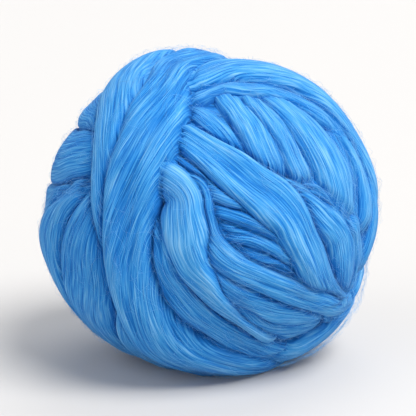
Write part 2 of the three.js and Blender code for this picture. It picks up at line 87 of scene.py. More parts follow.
@dataclass(frozen=True)
class Roving:
    """Sizes of the ball and of the roving that it is wound from, in millimetres.

    They are the sizes that the frame's solid is wound with.
    """

    core_radius: float = 93.5  # ball under the first wraps
    wind_radius: float = 112.0  # at which lengths along and across a wrap are measured
    shape: tuple[float, float, float] = (1.045, 1.01, 0.985)  # a little wide, and settled by its weight
    flat_spot_depth: float = 105.5  # from the ball's middle down to the surface that it rests on
    sink: float = 0.56  # share of the wool below that a wrap stands on
    full_half_width: float = 24.0  # half width at which a wrap has its full crest height
    thinning: float = 0.4  # how the crest falls as a wrap is drawn narrower
    least_crest_share: float = 0.6  # of the crest, left on the narrowest stretches
    most_crest_share: float = 1.15  # of the crest, reached on the widest stretches
    end_taper: float = 18.0  # length in which a wrap's end thins out
    rounding: float = 3.2  # how full the section is, 2 being round
    edge_drop: float = 0.55  # how steeply the section's edges fall, less being steeper
    station_step: float = 4.0  # along a wrap
    least_stations: int = 8
    station_reach: float = 1.2  # station steps, ahead and behind, that a station covers
    near_side_cosine: float = 0.9  # between a station and a direction on its own side of the ball
    lanes: int = 13  # across a wrap
    along_spread: float = 3.0  # stations over which the wool below is evened out
    across_spread: float = 1.6  # lanes over which the wool below is evened out
    spread_cut_off: float = 2.5  # spreads away from its middle, where the evening out stops
    route_substeps: int = 24  # fine steps between two route points, before they are spaced evenly
    inner_half_width: float = 26.0
    inner_crest: float = 7.0
    inner_points: int = 8  # route points of one circle
    inner_share: float = 1.0
    upright_pole_rise: float = 80.0  # degrees, from which a pole counts as upright


@dataclass(frozen=True)
class Lay:
    """One wrap as it is laid: its route round the ball and how it lies.

    The columns of a route are the turn round the ball from the front, the rise above its middle
    (both in degrees) and half of the width that shows. lean is how far the fibres turn left of the
    route, in degrees, and tone is how much lighter the wrap is than the rest. strands is how many
    strands the wrap has parted into, or nought where it hasn't. share is the wrap's full width to the
    width that shows, as its edges are tucked in.
    """

    name: str
    family: Family
    crest: float
    route: tuple[tuple[float, float, float], ...]
    lift: float = 0.0
    lean: float = 0.0
    tone: float = 0.0
    strands: int = 0
    closed: bool = False
    share: float = 1.2


@dataclass(frozen=True)
class Lock:
    """Fibre locks of one size: the soft folds that unspun fibres gather in.

    width and length are how far a lock reaches before the next, and depth is how far it stands up.
    crease is how deep the groove between two of them is where they part.
    """

    width: float
    length: float
    depth: float
    crease: float


# Poles of the inner wraps, each a full circle round the core. Columns: turn and rise, in degrees.
INNER_POLES: tuple[tuple[float, float], ...] = (
    (20, 5), (80, 10), (0, 88), (140, -5), (50, 40), (-10, 45), (110, 50), (-60, 50), (170, 40),
)

# The outer wraps, in the order in which they are wound: each lies over those before it.
WRAPS: tuple[Lay, ...] = (
    Lay("core_c", Family.HEART, crest=12, lift=2, tone=-0.04, strands=3, route=(
        (-14, 2, 8), (4, 0, 8), (11, -2, 9), (17, -4, 9), (25, -6, 9), (32, -11, 8), (41, -18, 7),
    )),
    Lay("core_b", Family.HEART, crest=12, lift=2, tone=-0.04, strands=3, route=(
        (-15, 9, 8), (-1, 8, 8), (5, 7, 9), (13, 6, 10), (20, 3, 10), (27, -2, 9), (35, -9, 8),
    )),
    Lay("core_a", Family.HEART, crest=12, lift=2, tone=-0.04, strands=3, route=(
        (-18, 16, 8), (-4, 15, 8), (3, 15, 9), (10, 13, 10), (17, 10, 10), (25, 5, 9), (32, -1, 8),
    )),
    Lay("peek", Family.HEART, crest=11, lift=3, route=(
        (-40, 38, 10), (-24, 34, 10), (-15, 30, 9), (-10, 27, 9), (-6, 25, 9), (-2, 22, 9), (3, 20, 8),
        (8, 18, 8), (14, 16, 7), (20, 14, 6),
    )),
    Lay("back_a", Family.BACK, crest=13, route=(
        (80, 50, 16), (115, 35, 20), (150, 12, 21), (-175, -12, 21), (-140, -34, 20), (-95, -50, 18),
        (-45, -55, 16),
    )),
    Lay("back_b", Family.BACK, crest=13, route=(
        (-90, 66, 16), (-130, 52, 20), (-172, 30, 21), (156, 3, 21), (130, -25, 20), (100, -48, 18),
        (50, -64, 16),
    )),
    Lay("back_c", Family.BACK, crest=13, route=(
        (-130, 74, 16), (-120, 42, 20), (-117, 10, 21), (-121, -22, 21), (-130, -52, 20),
        (-175, -74, 16),
    )),
    Lay("fan_a", Family.FAN, crest=10, lift=1, lean=-4, route=(
        (-30, 57, 8), (-16, 54, 8), (-6, 51, 9), (1, 47, 9), (7, 42, 9), (11, 37, 9), (15, 33, 8),
        (19, 28, 8),
    )),
    Lay("fan_d", Family.FAN, crest=10, tone=-0.06, route=(
        (37, 52, 5), (38, 43, 5), (40, 38, 5), (42, 32, 6), (44, 27, 6), (46, 21, 6), (50, 15, 6),
        (55, 9, 6), (61, 3, 6),
    )),
    Lay("rim_a", Family.RIM, crest=9, lift=1, tone=-0.12, route=(
        (93, 47, 9), (80, 40, 9), (72, 33, 10), (69, 26, 10), (67, 20, 10), (64, 14, 10), (61, 8, 9),
        (58, 2, 8),
    )),
    Lay("fan_e", Family.FAN, crest=12, lean=-4, tone=0.06, route=(
        (44, 67, 13), (46, 58, 14), (49, 50, 15), (51, 43, 17), (52, 35, 18), (53, 28, 18),
        (54, 21, 18), (54, 13, 15), (54, 5, 13), (53, -3, 11),
    )),
    Lay("fan_b", Family.FAN, crest=12, lean=-4, route=(
        (10, 74, 11), (13, 68, 11), (15, 61, 12), (18, 53, 12), (21, 46, 13), (23, 39, 13),
        (25, 33, 12), (27, 27, 11), (29, 21, 9),
    )),
    Lay("fan_c", Family.FAN, crest=12, lift=1, lean=-4, tone=0.08, route=(
        (32, 68, 7), (29, 57, 7), (32, 47, 8), (34, 40, 8), (35, 34, 8), (36, 28, 8), (38, 22, 8),
        (40, 17, 7),
    )),
    Lay("rim_b", Family.RIM, crest=12, lift=2, route=(
        (72, 62, 11), (79, 47, 11), (80, 34, 11), (78, 20, 11), (74, 6, 10), (69, -6, 9),
    )),
    Lay("rim_c", Family.RIM, crest=13, lift=3, route=(
        (150, 50, 16), (118, 40, 16), (100, 26, 15), (90, 10, 14), (84, -2, 13), (79, -14, 12),
        (72, -27, 11),
    )),
    Lay("sash_c", Family.SASH, crest=13, lift=1, lean=-4, route=(
        (11, 33, 7), (18, 27, 7), (26, 21, 8), (31, 18, 9), (36, 15, 10), (42, 8, 12), (50, 0, 13),
        (55, -9, 14), (60, -18, 13), (64, -26, 11), (76, -37, 10), (100, -52, 12),
    )),
    Lay("sash_a", Family.SASH, crest=14, lift=2, lean=-4, route=(
        (-50, 50, 14), (-28, 45, 12), (-14, 41, 11), (-7, 38, 11), (0, 34, 12), (7, 29, 14),
        (15, 22, 15), (22, 16, 16), (27, 10, 15), (31, 2, 13), (35, -5, 13), (40, -13, 12),
        (48, -21, 9), (62, -30, 9), (95, -49, 15), (135, -48, 18), (180, -32, 18), (-141, 0, 18),
    )),
    Lay("sash_d", Family.SASH, crest=10, lift=1, route=(
        (33, 21, 5), (40, 18, 6), (45, 14, 7), (51, 9, 7), (57, 3, 8), (63, -3, 10), (80, -36, 12),
        (88, -50, 12),
    )),
    Lay("low_a", Family.LOW, crest=13, lift=2, lean=4, route=(
        (-10, 3, 10), (-3, -4, 10), (4, -13, 12), (10, -18, 12), (17, -22, 12), (25, -26, 12),
        (35, -29, 11), (46, -31, 10), (58, -31, 10), (90, -33, 14), (118, -20, 16), (145, 0, 16),
    )),
    Lay("low_d", Family.LOW, crest=10, lift=1, route=(
        (0, -12, 6), (6, -19, 7), (12, -27, 8), (18, -33, 9), (26, -38, 10), (36, -41, 10),
        (47, -43, 10), (60, -43, 9), (71, -39, 8),
    )),
    Lay("low_c", Family.LOW, crest=10, lift=1, route=(
        (-14, 26, 8), (-5, 20, 7), (-2, 13, 7), (1, 7, 7), (4, 3, 7), (7, -1, 7), (10, -5, 7),
        (14, -8, 7), (18, -10, 7), (24, -13, 7), (30, -16, 7), (38, -20, 7),
    )),
    Lay("low_b", Family.LOW, crest=13, lift=1, lean=3, route=(
        (-30, 30, 13), (-12, 24, 9), (-4, 20, 8), (-3, 12, 9), (-1, 4, 9), (3, -2, 10), (9, -7, 10),
        (16, -11, 10), (23, -15, 10), (33, -20, 10), (45, -25, 10), (64, -32, 10), (105, -34, 15),
        (145, -24, 18), (175, -3, 18), (-150, 20, 18),
    )),
    Lay("bend", Family.BEND, crest=14, lift=2, lean=6, tone=0.04, route=(
        (-50, 40, 12), (-36, 34, 13), (-25, 29, 13), (-18, 25, 12), (-12, 21, 12), (-9, 17, 12),
        (-9, 12, 14), (-9, 6, 16), (-9, 1, 16), (-7, -6, 14), (-3, -12, 11), (1, -18, 8), (6, -24, 6),
        (11, -29, 4), (18, -35, 4), (26, -41, 5), (38, -46, 6),
    )),
    Lay("under_keel", Family.PROP, crest=14, lift=1, route=(
        (34, -62, 12), (58, -57, 15), (82, -50, 16), (102, -38, 14), (116, -22, 11),
    )),
    Lay("keel_b", Family.KEEL, crest=13, lift=5, route=(
        (-30, -10, 9), (-20, -30, 10), (-2, -47, 10), (26, -56, 11), (56, -55, 13), (82, -43, 13),
        (105, -24, 16), (125, 0, 17), (132, 30, 17),
    )),
    Lay("keel_a", Family.KEEL, crest=13, lift=1, route=(
        (-30, 20, 10), (-19, 3, 10), (-17, -4, 11), (-15, -11, 11), (-11, -18, 11), (-6, -25, 11),
        (0, -31, 10), (7, -37, 10), (15, -43, 10), (27, -49, 10), (48, -55, 10), (66, -54, 11),
        (92, -30, 15), (118, -8, 18), (142, 14, 18), (175, 34, 18), (-140, 46, 18),
    )),
    Lay("left_f", Family.LEFT, crest=11, lift=2, route=(
        (-165, -42, 20), (-138, -34, 21), (-112, -24, 20), (-94, -14, 16), (-80, -4, 13), (-66, 4, 9),
    )),
    Lay("left_a", Family.LEFT, crest=11, lift=2, tone=-0.03, route=(
        (-158, 26, 20), (-122, 39, 20), (-94, 45, 19), (-78, 45, 18), (-66, 45, 16), (-53, 41, 13),
        (-40, 36, 11),
    )),
    Lay("left_c", Family.LEFT, crest=12, lift=5, lean=5, route=(
        (-46, 20, 8), (-60, 9, 13), (-69, -4, 16), (-76, -20, 18), (-84, -40, 18), (-97, -62, 17),
        (-155, -76, 16),
    )),
    Lay("left_b", Family.LEFT, crest=11, lift=1, tone=-0.04, route=(
        (-165, 4, 23), (-128, 13, 25), (-100, 21, 23), (-84, 23, 22), (-72, 25, 21), (-63, 28, 19),
        (-54, 30, 17), (-46, 32, 14), (-36, 32, 11),
    )),
    Lay("left_e", Family.LEFT, crest=11, lift=2, route=(
        (-155, -20, 20), (-120, -8, 20), (-100, 1, 17), (-84, 6, 12), (-72, 10, 9), (-63, 13, 7),
        (-55, 16, 6), (-46, 18, 6), (-34, 21, 6),
    )),
    Lay("left_d", Family.LEFT, crest=13, lift=1, lean=-4, route=(
        (-36, 24, 8), (-41, 15, 11), (-46, 4, 16), (-51, -13, 22), (-57, -31, 22), (-62, -50, 19),
        (-64, -72, 18), (150, -74, 17),
    )),
    Lay("back_g", Family.BACK, crest=12, route=(
        (-150, 84, 14), (160, 72, 18), (139, 56, 19), (131, 36, 19), (132, 12, 18), (130, -12, 16),
        (128, -24, 12),
    )),
    Lay("back_h", Family.BACK, crest=12, route=(
        (96, 66, 12), (107, 44, 14), (110, 20, 15), (108, -4, 15), (102, -26, 15), (90, -46, 14),
        (72, -62, 12),
    )),
    Lay("back_e", Family.BACK, crest=13, route=(
        (95, 68, 16), (118, 42, 20), (123, 14, 21), (118, -14, 20), (106, -38, 18), (80, -60, 16),
    )),
    Lay("back_f", Family.BACK, crest=13, route=(
        (160, 78, 16), (-178, 56, 20), (-173, 28, 22), (-171, 0, 22), (-169, -28, 22), (-172, -54, 21),
        (175, -76, 19), (40, -84, 16),
    )),
    Lay("back_d", Family.BACK, crest=13, lift=1, route=(
        (178, 66, 16), (-164, 45, 20), (-151, 16, 22), (-144, -14, 22), (-138, -44, 20),
        (-105, -68, 16),
    )),
    Lay("under_crown", Family.PROP, crest=12, lift=2, route=(
        (20, 76, 11), (52, 73, 14), (76, 64, 15), (86, 50, 13), (92, 36, 10),
    )),
    Lay("under_front", Family.PROP, crest=7, route=(
        (-34, 56, 12), (-8, 66, 9), (18, 70, 9), (44, 67, 9), (64, 56, 9), (76, 44, 8),
    )),
    Lay("crown_b", Family.CROWN, crest=12, lift=1, tone=0.04, route=(
        (-55, 52, 11), (-24, 57, 8), (-12, 60, 8), (0, 65, 8), (10, 67, 8), (20, 66, 8), (32, 64, 8),
        (45, 62, 8), (56, 58, 8), (64, 52, 8), (72, 45, 8), (79, 35, 7), (82, 22, 6),
    )),
    Lay("crown_a", Family.CROWN, crest=14, lift=1, lean=5, tone=0.08, route=(
        (-60, 58, 16), (-25, 69, 16), (25, 79, 17), (66, 72, 17), (84, 60, 16), (90, 44, 15),
        (93, 28, 13), (93, 13, 12), (95, -2, 12), (100, -16, 12), (106, -30, 12), (114, -44, 12),
        (126, -57, 12),
    )),
    Lay("under_arch", Family.PROP, crest=16, lift=3, route=(
        (-165, 72, 14), (-132, 72, 18), (-112, 70, 19), (-88, 65, 18), (-64, 57, 14), (-42, 56, 11),
    )),
    Lay("arch_a", Family.ARCH, crest=13, lift=3, lean=6, tone=0.06, closed=True, route=(
        (-140, 70, 15), (-92, 71, 17), (-60, 58, 20), (-46, 44, 17), (-40, 29, 14), (-37, 15, 12),
        (-34, 2, 10), (-31, -12, 10), (-31, -28, 13), (-34, -48, 18), (-20, -70, 18), (100, -76, 18),
        (152, -48, 18), (164, -12, 18), (171, 22, 18), (-176, 52, 18),
    )),
    Lay("arch_b", Family.ARCH, crest=15, lift=1, lean=-16, strands=2, closed=True, route=(
        (-130, 84, 16), (-50, 75, 15), (-31, 62, 15), (-27, 48, 19), (-26, 33, 20), (-27, 19, 19),
        (-28, 5, 17), (-28, -9, 17), (-25, -25, 18), (-19, -41, 21), (3, -57, 22), (45, -69, 22),
        (112, -60, 20), (138, -30, 20), (148, 5, 20), (160, 36, 19), (-178, 66, 18),
    )),
)

# From the broadest to the finest, in millimetres.
LOCKS: tuple[Lock, ...] = (
    Lock(width=13.0, length=150.0, depth=0.6, crease=0.5),
    Lock(width=6.0, length=90.0, depth=0.16, crease=0.15),
    Lock(width=2.4, length=45.0, depth=0.05, crease=0.05),
)


def direction(turn: float, rise: float) -> Array:
    """Turns a place on the ball into a direction.

    Args:
        turn: Turn round the ball from its front, in degrees.
        rise: Rise above the ball's middle, in degrees.

    Returns:
        A unit vector from the ball's middle.
    """
    t = math.radians(turn)
    r = math.radians(rise)
    return np.array([math.sin(t) * math.cos(r), -math.cos(t) * math.cos(r), math.sin(r)])


def unit(vectors: Array) -> Array:
    """Scales vectors to length one."""
    return vectors / np.linalg.norm(vectors, axis=-1, keepdims=True)


def smooth_curve(before: Array, start: Array, end: Array, after: Array, share: Array) -> Array:
    """Values of a smooth curve between start and end.

    Args:
        before: Values one step before start.
        start: Values where the stretch starts.
        end: Values where the stretch ends.
        after: Values one step after end.
        share: How far along the stretch, from 0 to 1.

    Returns:
        The curve's values.
    """
    linear = (end - before) * share
    square = (2 * before - 5 * start + 4 * end - after) * share**2
    cube = (3 * start - before - 3 * end + after) * share**3
    return 0.5 * (2 * start + linear + square + cube)


def resample(rows: Array, places: Array, closed: bool) -> Array:
    """Reads evenly spaced rows at places between them, along a smooth curve.

    Args:
        rows: One row of values for each step.
        places: Where to read, counted in steps.
        closed: Whether the last row is followed by the first.

    Returns:
        One row of values for each place.
    """
    count = len(rows)
    if closed:
        padded = np.concatenate([rows[-1:], rows, rows[:3]])
    else:
        padded = np.concatenate([2 * rows[:1] - rows[1:2], rows, 2 * rows[-1:] - rows[-2:-1]])
    last = count - 1 if closed else count - 2
    step = np.clip(np.floor(places).astype(int), 0, last)
    share = (places - step).reshape((-1,) + (1,) * (rows.ndim - 1))
    corners = [padded[step + k] for k in range(4)]
    return smooth_curve(*corners, share)


def evened(values: Array, spread: float, axis: int, closed: bool, cut_off: float) -> Array:
    """Evens values out with bell-shaped weights.

    Args:
        values: The values.
        spread: Width of the bell, counted in steps.
        axis: The axis that they are evened out along.
        closed: Whether that axis is a closed ring.
        cut_off: How many spreads away the bell stops.

    Returns:
        The values, evened out.
    """
    reach = math.ceil(spread * cut_off)
    shifts = np.arange(-reach, reach + 1)
    weights = np.exp(-0.5 * (shifts / spread) ** 2)
    weights /= weights.sum()
    places = np.arange(values.shape[axis])
    result = np.zeros_like(values)
    for shift, weight in zip(shifts, weights):
        moved = (places + shift) % len(places) if closed else np.clip(places + shift, 0, len(places) - 1)
        result += weight * np.take(values, moved, axis=axis)
    return result


def turned_aside(middle: Array, across: Array, angle: Array) -> Array:
    """Turns the unit vector of each row towards its side, by each angle of that row, in radians."""
    return middle[:, None] * np.cos(angle)[..., None] + across[:, None] * np.sin(angle)[..., None]


def between_columns(rows: Array, places: Array) -> Array:
    """Reads columns at places between them.

    Args:
        rows: Values, with one column for each step.
        places: Where to read, counted in columns.

    Returns:
        One column for each place.
    """
    column = np.clip(places.astype(int), 0, rows.shape[1] - 2)
    share = places - column
    return rows[:, column] * (1 - share) + rows[:, column + 1] * share


def lattice_noise(
    rng: np.random.Generator,
    along: Array,
    across: Array,
    length: float,
    width: float,
    loop: float | None,
) -> Array:
    """Smooth noise that is stretched along the fibres.

    Args:
        rng: Where the random values come from.
        along: Places along the fibres.
        across: Places across the fibres.
        length: Size of a cell along the fibres.
        width: Size of a cell across the fibres.
        loop: Length after which the noise repeats along the fibres, or None.

    Returns:
        Values from -1 to 1, one for each place.
    """
    cells = max(2, round(loop / length)) if loop else int(along.max() / length) + 2
    s = along * (cells / loop if loop else 1 / length)
    t = across / width
    t = t - math.floor(t.min())
    table = rng.uniform(-1.0, 1.0, (cells, int(t.max()) + 2))
    i = np.floor(s).astype(int)
    j = np.floor(t).astype(int)
    a = s - i
    b = t - j
    a = a * a * (3 - 2 * a)
    b = b * b * (3 - 2 * b)
    i0 = i % cells
    i1 = (i + 1) % cells
    near = table[i0, j] * (1 - b) + table[i0, j + 1] * b
    far = table[i1, j] * (1 - b) + table[i1, j + 1] * b
    return near * (1 - a) + far * a


class Wrap:
    """One wrap of roving: evenly spaced stations round the ball, and the wool that lies below it."""

    def __init__(self, lay: Lay, roving: Roving) -> None:
        """Spaces the wrap's stations evenly along its route.

        Args:
            lay: The wrap as it is laid.
            roving: Sizes of the ball and the roving.
        """
        self.lay = lay
        self.roving = roving
        places = np.array([direction(turn, rise) for turn, rise, _ in lay.route])
        halves = np.array([[half * lay.share] for _, _, half in lay.route])
        rows = np.concatenate([places, halves], axis=1)
        spans = len(rows) if lay.closed else len(rows) - 1
        fine = resample(rows, np.linspace(0, spans, spans * roving.route_substeps + 1), lay.closed)
        middles = unit(fine[:, :3])
        steps = np.linalg.norm(np.diff(middles, axis=0), axis=1) * roving.wind_radius
        reach = np.concatenate([[0.0], np.cumsum(steps)])
        self.length = float(reach[-1])
        count = max(roving.least_stations, round(self.length / roving.station_step))
        self.along = np.linspace(0, self.length, count, endpoint=not lay.closed)
        columns = [np.interp(self.along, reach, column) for column in middles.T]
        self.middle = unit(np.stack(columns, axis=1))
        self.half = np.interp(self.along, reach, fine[:, 3])
        self.set_frames()
        self.set_crest()
        self.below = np.zeros((count, roving.lanes))

    def set_frames(self) -> None:
        """Works out which way is ahead and which is across at each station."""
        if self.lay.closed:
            ahead = np.roll(self.middle, -1, axis=0) - np.roll(self.middle, 1, axis=0)
        else:
            ahead = np.gradient(self.middle, axis=0)
        ahead -= np.sum(ahead * self.middle, axis=1, keepdims=True) * self.middle
        self.ahead = unit(ahead)
        self.across = np.cross(self.middle, self.ahead)

    def set_crest(self) -> None:
        """Works out how far the wrap's middle stands up at each station."""
        roving = self.roving
        taper = np.ones(len(self.along))
        if not self.lay.closed:
            to_end = np.minimum(self.along, self.length - self.along)
            taper = np.sqrt(np.clip(to_end / roving.end_taper, 0, 1))
        thickness = (self.half / roving.full_half_width) ** roving.thinning
        thickness = thickness.clip(roving.least_crest_share, roving.most_crest_share)
        self.crest = self.lay.crest * taper * thickness

    def section(self, t: Array) -> Array:
        """Height of the wrap's section above its edges, as a share, at t from -1 to 1 across it."""
        return np.clip(1 - np.abs(t) ** self.roving.rounding, 0, 1) ** self.roving.edge_drop

    def lane_directions(self, lanes: Array) -> Array:
        """Directions at all stations of lanes that lie from -1 to 1 across the wrap."""
        return turned_aside(self.middle, self.across, self.half[:, None] * lanes / self.roving.wind_radius)

    def locate(self, directions: Array) -> tuple[Array, Array, Array]:
        """Finds where directions lie along and across the wrap.

        Args:
            directions: Unit vectors, one a row.

        Returns:
            The nearest station of each, how far aside of it the direction lies in millimetres, and
            whether it lies beside the wrap at all.
        """
        roving = self.roving
        cosines = directions @ self.middle.T
        nearest = cosines.argmax(axis=1)
        closest = cosines[np.arange(len(directions)), nearest]
        ahead = np.sum(directions * self.ahead[nearest], axis=1) * roving.wind_radius
        sine = np.clip(np.sum(directions * self.across[nearest], axis=1), -1, 1)
        beside = closest > roving.near_side_cosine
        beside &= np.abs(ahead) < roving.station_step * roving.station_reach
        return nearest, np.arcsin(sine) * roving.wind_radius, beside

    def height_at(self, directions: Array) -> Array:
        """Height of the wrap over directions.

        Args:
            directions: Unit vectors, one a row.

        Returns:
            Heights above the core, and minus infinity where the wrap doesn't reach.
        """
        roving = self.roving
        nearest, aside, beside = self.locate(directions)
        t = aside / self.half[nearest]
        covered = beside & (np.abs(t) < 1)
        x = (np.clip(t, -1, 1) + 1) / 2 * (roving.lanes - 1)
        lane = np.clip(x.astype(int), 0, roving.lanes - 2)
        share = x - lane
        below = self.below[nearest, lane] * (1 - share) + self.below[nearest, lane + 1] * share
        height = roving.sink * below + self.lay.lift + self.crest[nearest] * self.section(t)
        return np.where(covered, height, -np.inf)

    def lay_over(self, wound: list["Wrap"]) -> None:
        """Lays the wrap over those already wound: it follows the wool below it, evened out.

        Args:
            wound: The wraps already wound.
        """
        roving = self.roving
        directions = self.lane_directions(np.linspace(-1, 1, roving.lanes))
        flat = directions.reshape(-1, 3)
        highest = np.zeros(len(flat))
        for other in wound:
            highest = np.maximum(highest, other.height_at(flat))
        heights = highest.reshape(directions.shape[:2])
        heights = evened(heights, roving.along_spread, 0, self.lay.closed, roving.spread_cut_off)
        self.below = evened(heights, roving.across_spread, 1, False, roving.spread_cut_off)


class Winding:
    """The whole ball: every wrap, laid over those before it."""

    def __init__(self, roving: Roving) -> None:
        """Winds the ball.

        Args:
            roving: Sizes of the ball and the roving.
        """
        self.roving = roving
        lays = [self.inner_lay(number, turn, rise) for number, (turn, rise) in enumerate(INNER_POLES)]
        self.wraps: list[Wrap] = []
        for lay in [*lays, *WRAPS]:
            wrap = Wrap(lay, roving)
            wrap.lay_over(self.wraps)
            self.wraps.append(wrap)
        self.offset = self.find_offset()

    def inner_lay(self, number: int, turn: float, rise: float) -> Lay:
        """An inner wrap: a full circle at right angles to its pole.

        Args:
            number: Which of the inner wraps it is.
            turn: Turn of its pole, in degrees.
            rise: Rise of its pole, in degrees.

        Returns:
            The wrap as it is laid.
        """
        pole = direction(turn, rise)
        upright = abs(pole[2]) > math.sin(math.radians(self.roving.upright_pole_rise))
        helper = np.array([0.0, 1.0, 0.0]) if upright else np.array([0.0, 0.0, 1.0])
        first = unit(np.cross(pole, helper))
        second = np.cross(pole, first)
        route = []
        for k in range(self.roving.inner_points):
            angle = 2 * math.pi * k / self.roving.inner_points
            d = first * math.cos(angle) + second * math.sin(angle)
            place = (math.degrees(math.atan2(d[0], -d[1])), math.degrees(math.asin(d[2])))
            route.append((*place, self.roving.inner_half_width))
        name = f"inner_{number}"
        crest = self.roving.inner_crest
        share = self.roving.inner_share
        return Lay(name, Family.INNER, crest, tuple(route), closed=True, share=share)

    def find_offset(self) -> Array:
        """Finds where the ball's middle lies, so that the ball fills the frame's box as the solid does.

        Returns:
            The middle's place in the frame, in millimetres.
        """
        low = np.full(3, np.inf)
        high = np.full(3, -np.inf)
        for wrap in self.wraps:
            lanes = np.linspace(-1, 1, self.roving.lanes)
            directions = wrap.lane_directions(lanes).reshape(-1, 3)
            height = np.maximum(wrap.height_at(directions), 0)
            points = directions * (self.roving.core_radius + height)[:, None] * self.roving.shape
            low = np.minimum(low, points.min(axis=0))
            high = np.maximum(high, points.max(axis=0))
        box_low, box_high = (np.array(corner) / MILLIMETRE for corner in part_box(NODE))
        offset = (box_low + box_high) / 2 - (low + high) / 2
        offset[2] = box_low[2] + self.roving.flat_spot_depth
        return offset

    def place(self, directions: Array, heights: Array, clearance: float) -> Array:
        """Places points of the ball in the frame, and flattens them where the ball rests.

        Args:
            directions: Unit vectors from the ball's middle.
            heights: Heights above the core.
            clearance: How far above the surface the lowest of them stay.

        Returns:
            Points in millimetres.
        """
        radius = self.roving.core_radius + heights
        points = directions * radius[..., None] * np.array(self.roving.shape)
        points[..., 2] = np.maximum(points[..., 2], clearance - self.roving.flat_spot_depth)
        return points + self.offset

    def height(self, directions: Array) -> Array:
        """Height of the wound wool.

        Args:
            directions: Unit vectors, one a row.

        Returns:
            Heights above the core, one for each direction.
        """
        result = np.zeros(len(directions))
        for wrap in self.wraps:
            result = np.maximum(result, wrap.height_at(directions))
        return result

    def stands_out(self, number: int, directions: Array, limit: float) -> Array:
        """How far a wrap stands above all others, or below where others lie over it.

        Args:
            number: The wrap's place in the order of winding.
            directions: Unit vectors to points of the wrap.
            limit: The most that is told apart, in millimetres.

        Returns:
            Differences in height in millimetres, one for each direction.
        """
        others = np.zeros(len(directions))
        for other, wrap in enumerate(self.wraps):
            if other != number:
                others = np.maximum(others, wrap.height_at(directions))
        own = np.maximum(self.wraps[number].height_at(directions), 0)
        return np.clip(own - others, -limit, limit)

    def covered(self, number: int, directions: Array, heights: Array) -> Array:
        """Tells which points of a wrap lie under later wraps.

        Args:
            number: The wrap's place in the order of winding.
            directions: Unit vectors to the points.
            heights: The points' heights above the core.

        Returns:
            True where a later wrap lies over the point.
        """
        result = np.zeros(len(directions), bool)
        for later in self.wraps[number + 1:]:
            result |= later.height_at(directions) > heights
        return result


class CreaseMap:
    """How high the wound wool stands all round the ball, and how deep it lies below what is near."""

    last_row_margin = 1e-3  # of a row, kept short of the last one so that there is a next

    def __init__(self, winding: Winding, step: float = 0.75, spread: float = 6.0) -> None:
        """Reads the wound ball on an even grid of turns and rises.

        Args:
            winding: The wound ball.
            step: Distance between the grid's points, in degrees.
            spread: How far round a point its surroundings reach, in millimetres.
        """
        self.step = step
        rises = np.radians(np.arange(-90 + step / 2, 90, step))
        turns = np.radians(np.arange(0, 360, step))
        rise, turn = np.meshgrid(rises, turns, indexing="ij")
        rows = [np.sin(turn) * np.cos(rise), -np.cos(turn) * np.cos(rise), np.sin(rise)]
        directions = np.stack(rows, axis=-1)
        self.heights = np.stack([winding.height(row) for row in directions])
        waves = np.fft.rfftfreq(len(turns), 1 / len(turns))
        radius = winding.roving.wind_radius
        widths = spread / (radius * np.cos(rises))
        weights = np.exp(-0.5 * (waves[None] * widths[:, None]) ** 2)
        around = np.fft.irfft(np.fft.rfft(self.heights, axis=1) * weights, len(turns), axis=1)
        steps = spread / (radius * math.radians(step))
        self.depths = evened(around, steps, 0, False, winding.roving.spread_cut_off) - self.heights

    def read(self, values: Array, directions: Array) -> Array:
        """Reads values between the grid's points.

        Args:
            values: The grid's heights or depths.
            directions: Unit vectors from the ball's middle.

        Returns:
            One value for each direction.
        """
        rise = np.degrees(np.arcsin(np.clip(directions[..., 2], -1, 1)))
        turn = np.degrees(np.arctan2(directions[..., 0], -directions[..., 1])) % 360
        y = np.clip((rise + 90) / self.step - 0.5, 0, len(values) - 1 - self.last_row_margin)
        x = turn / self.step
        j = y.astype(int)
        i = x.astype(int) % values.shape[1]
        b = y - j
        a = x - np.floor(x)
        i1 = (i + 1) % values.shape[1]
        low = values[j, i] * (1 - a) + values[j, i1] * a
        high = values[j + 1, i] * (1 - a) + values[j + 1, i1] * a
        return low * (1 - b) + high * b


@dataclass(frozen=True)
class Streaks:
    """Noise that is drawn out along the fibres.

    along and across are its cells for each metre along and across the fibres, and detail is how many
    finer layers it has.
    """

    along: float
    across: float
    detail: float = 1.0


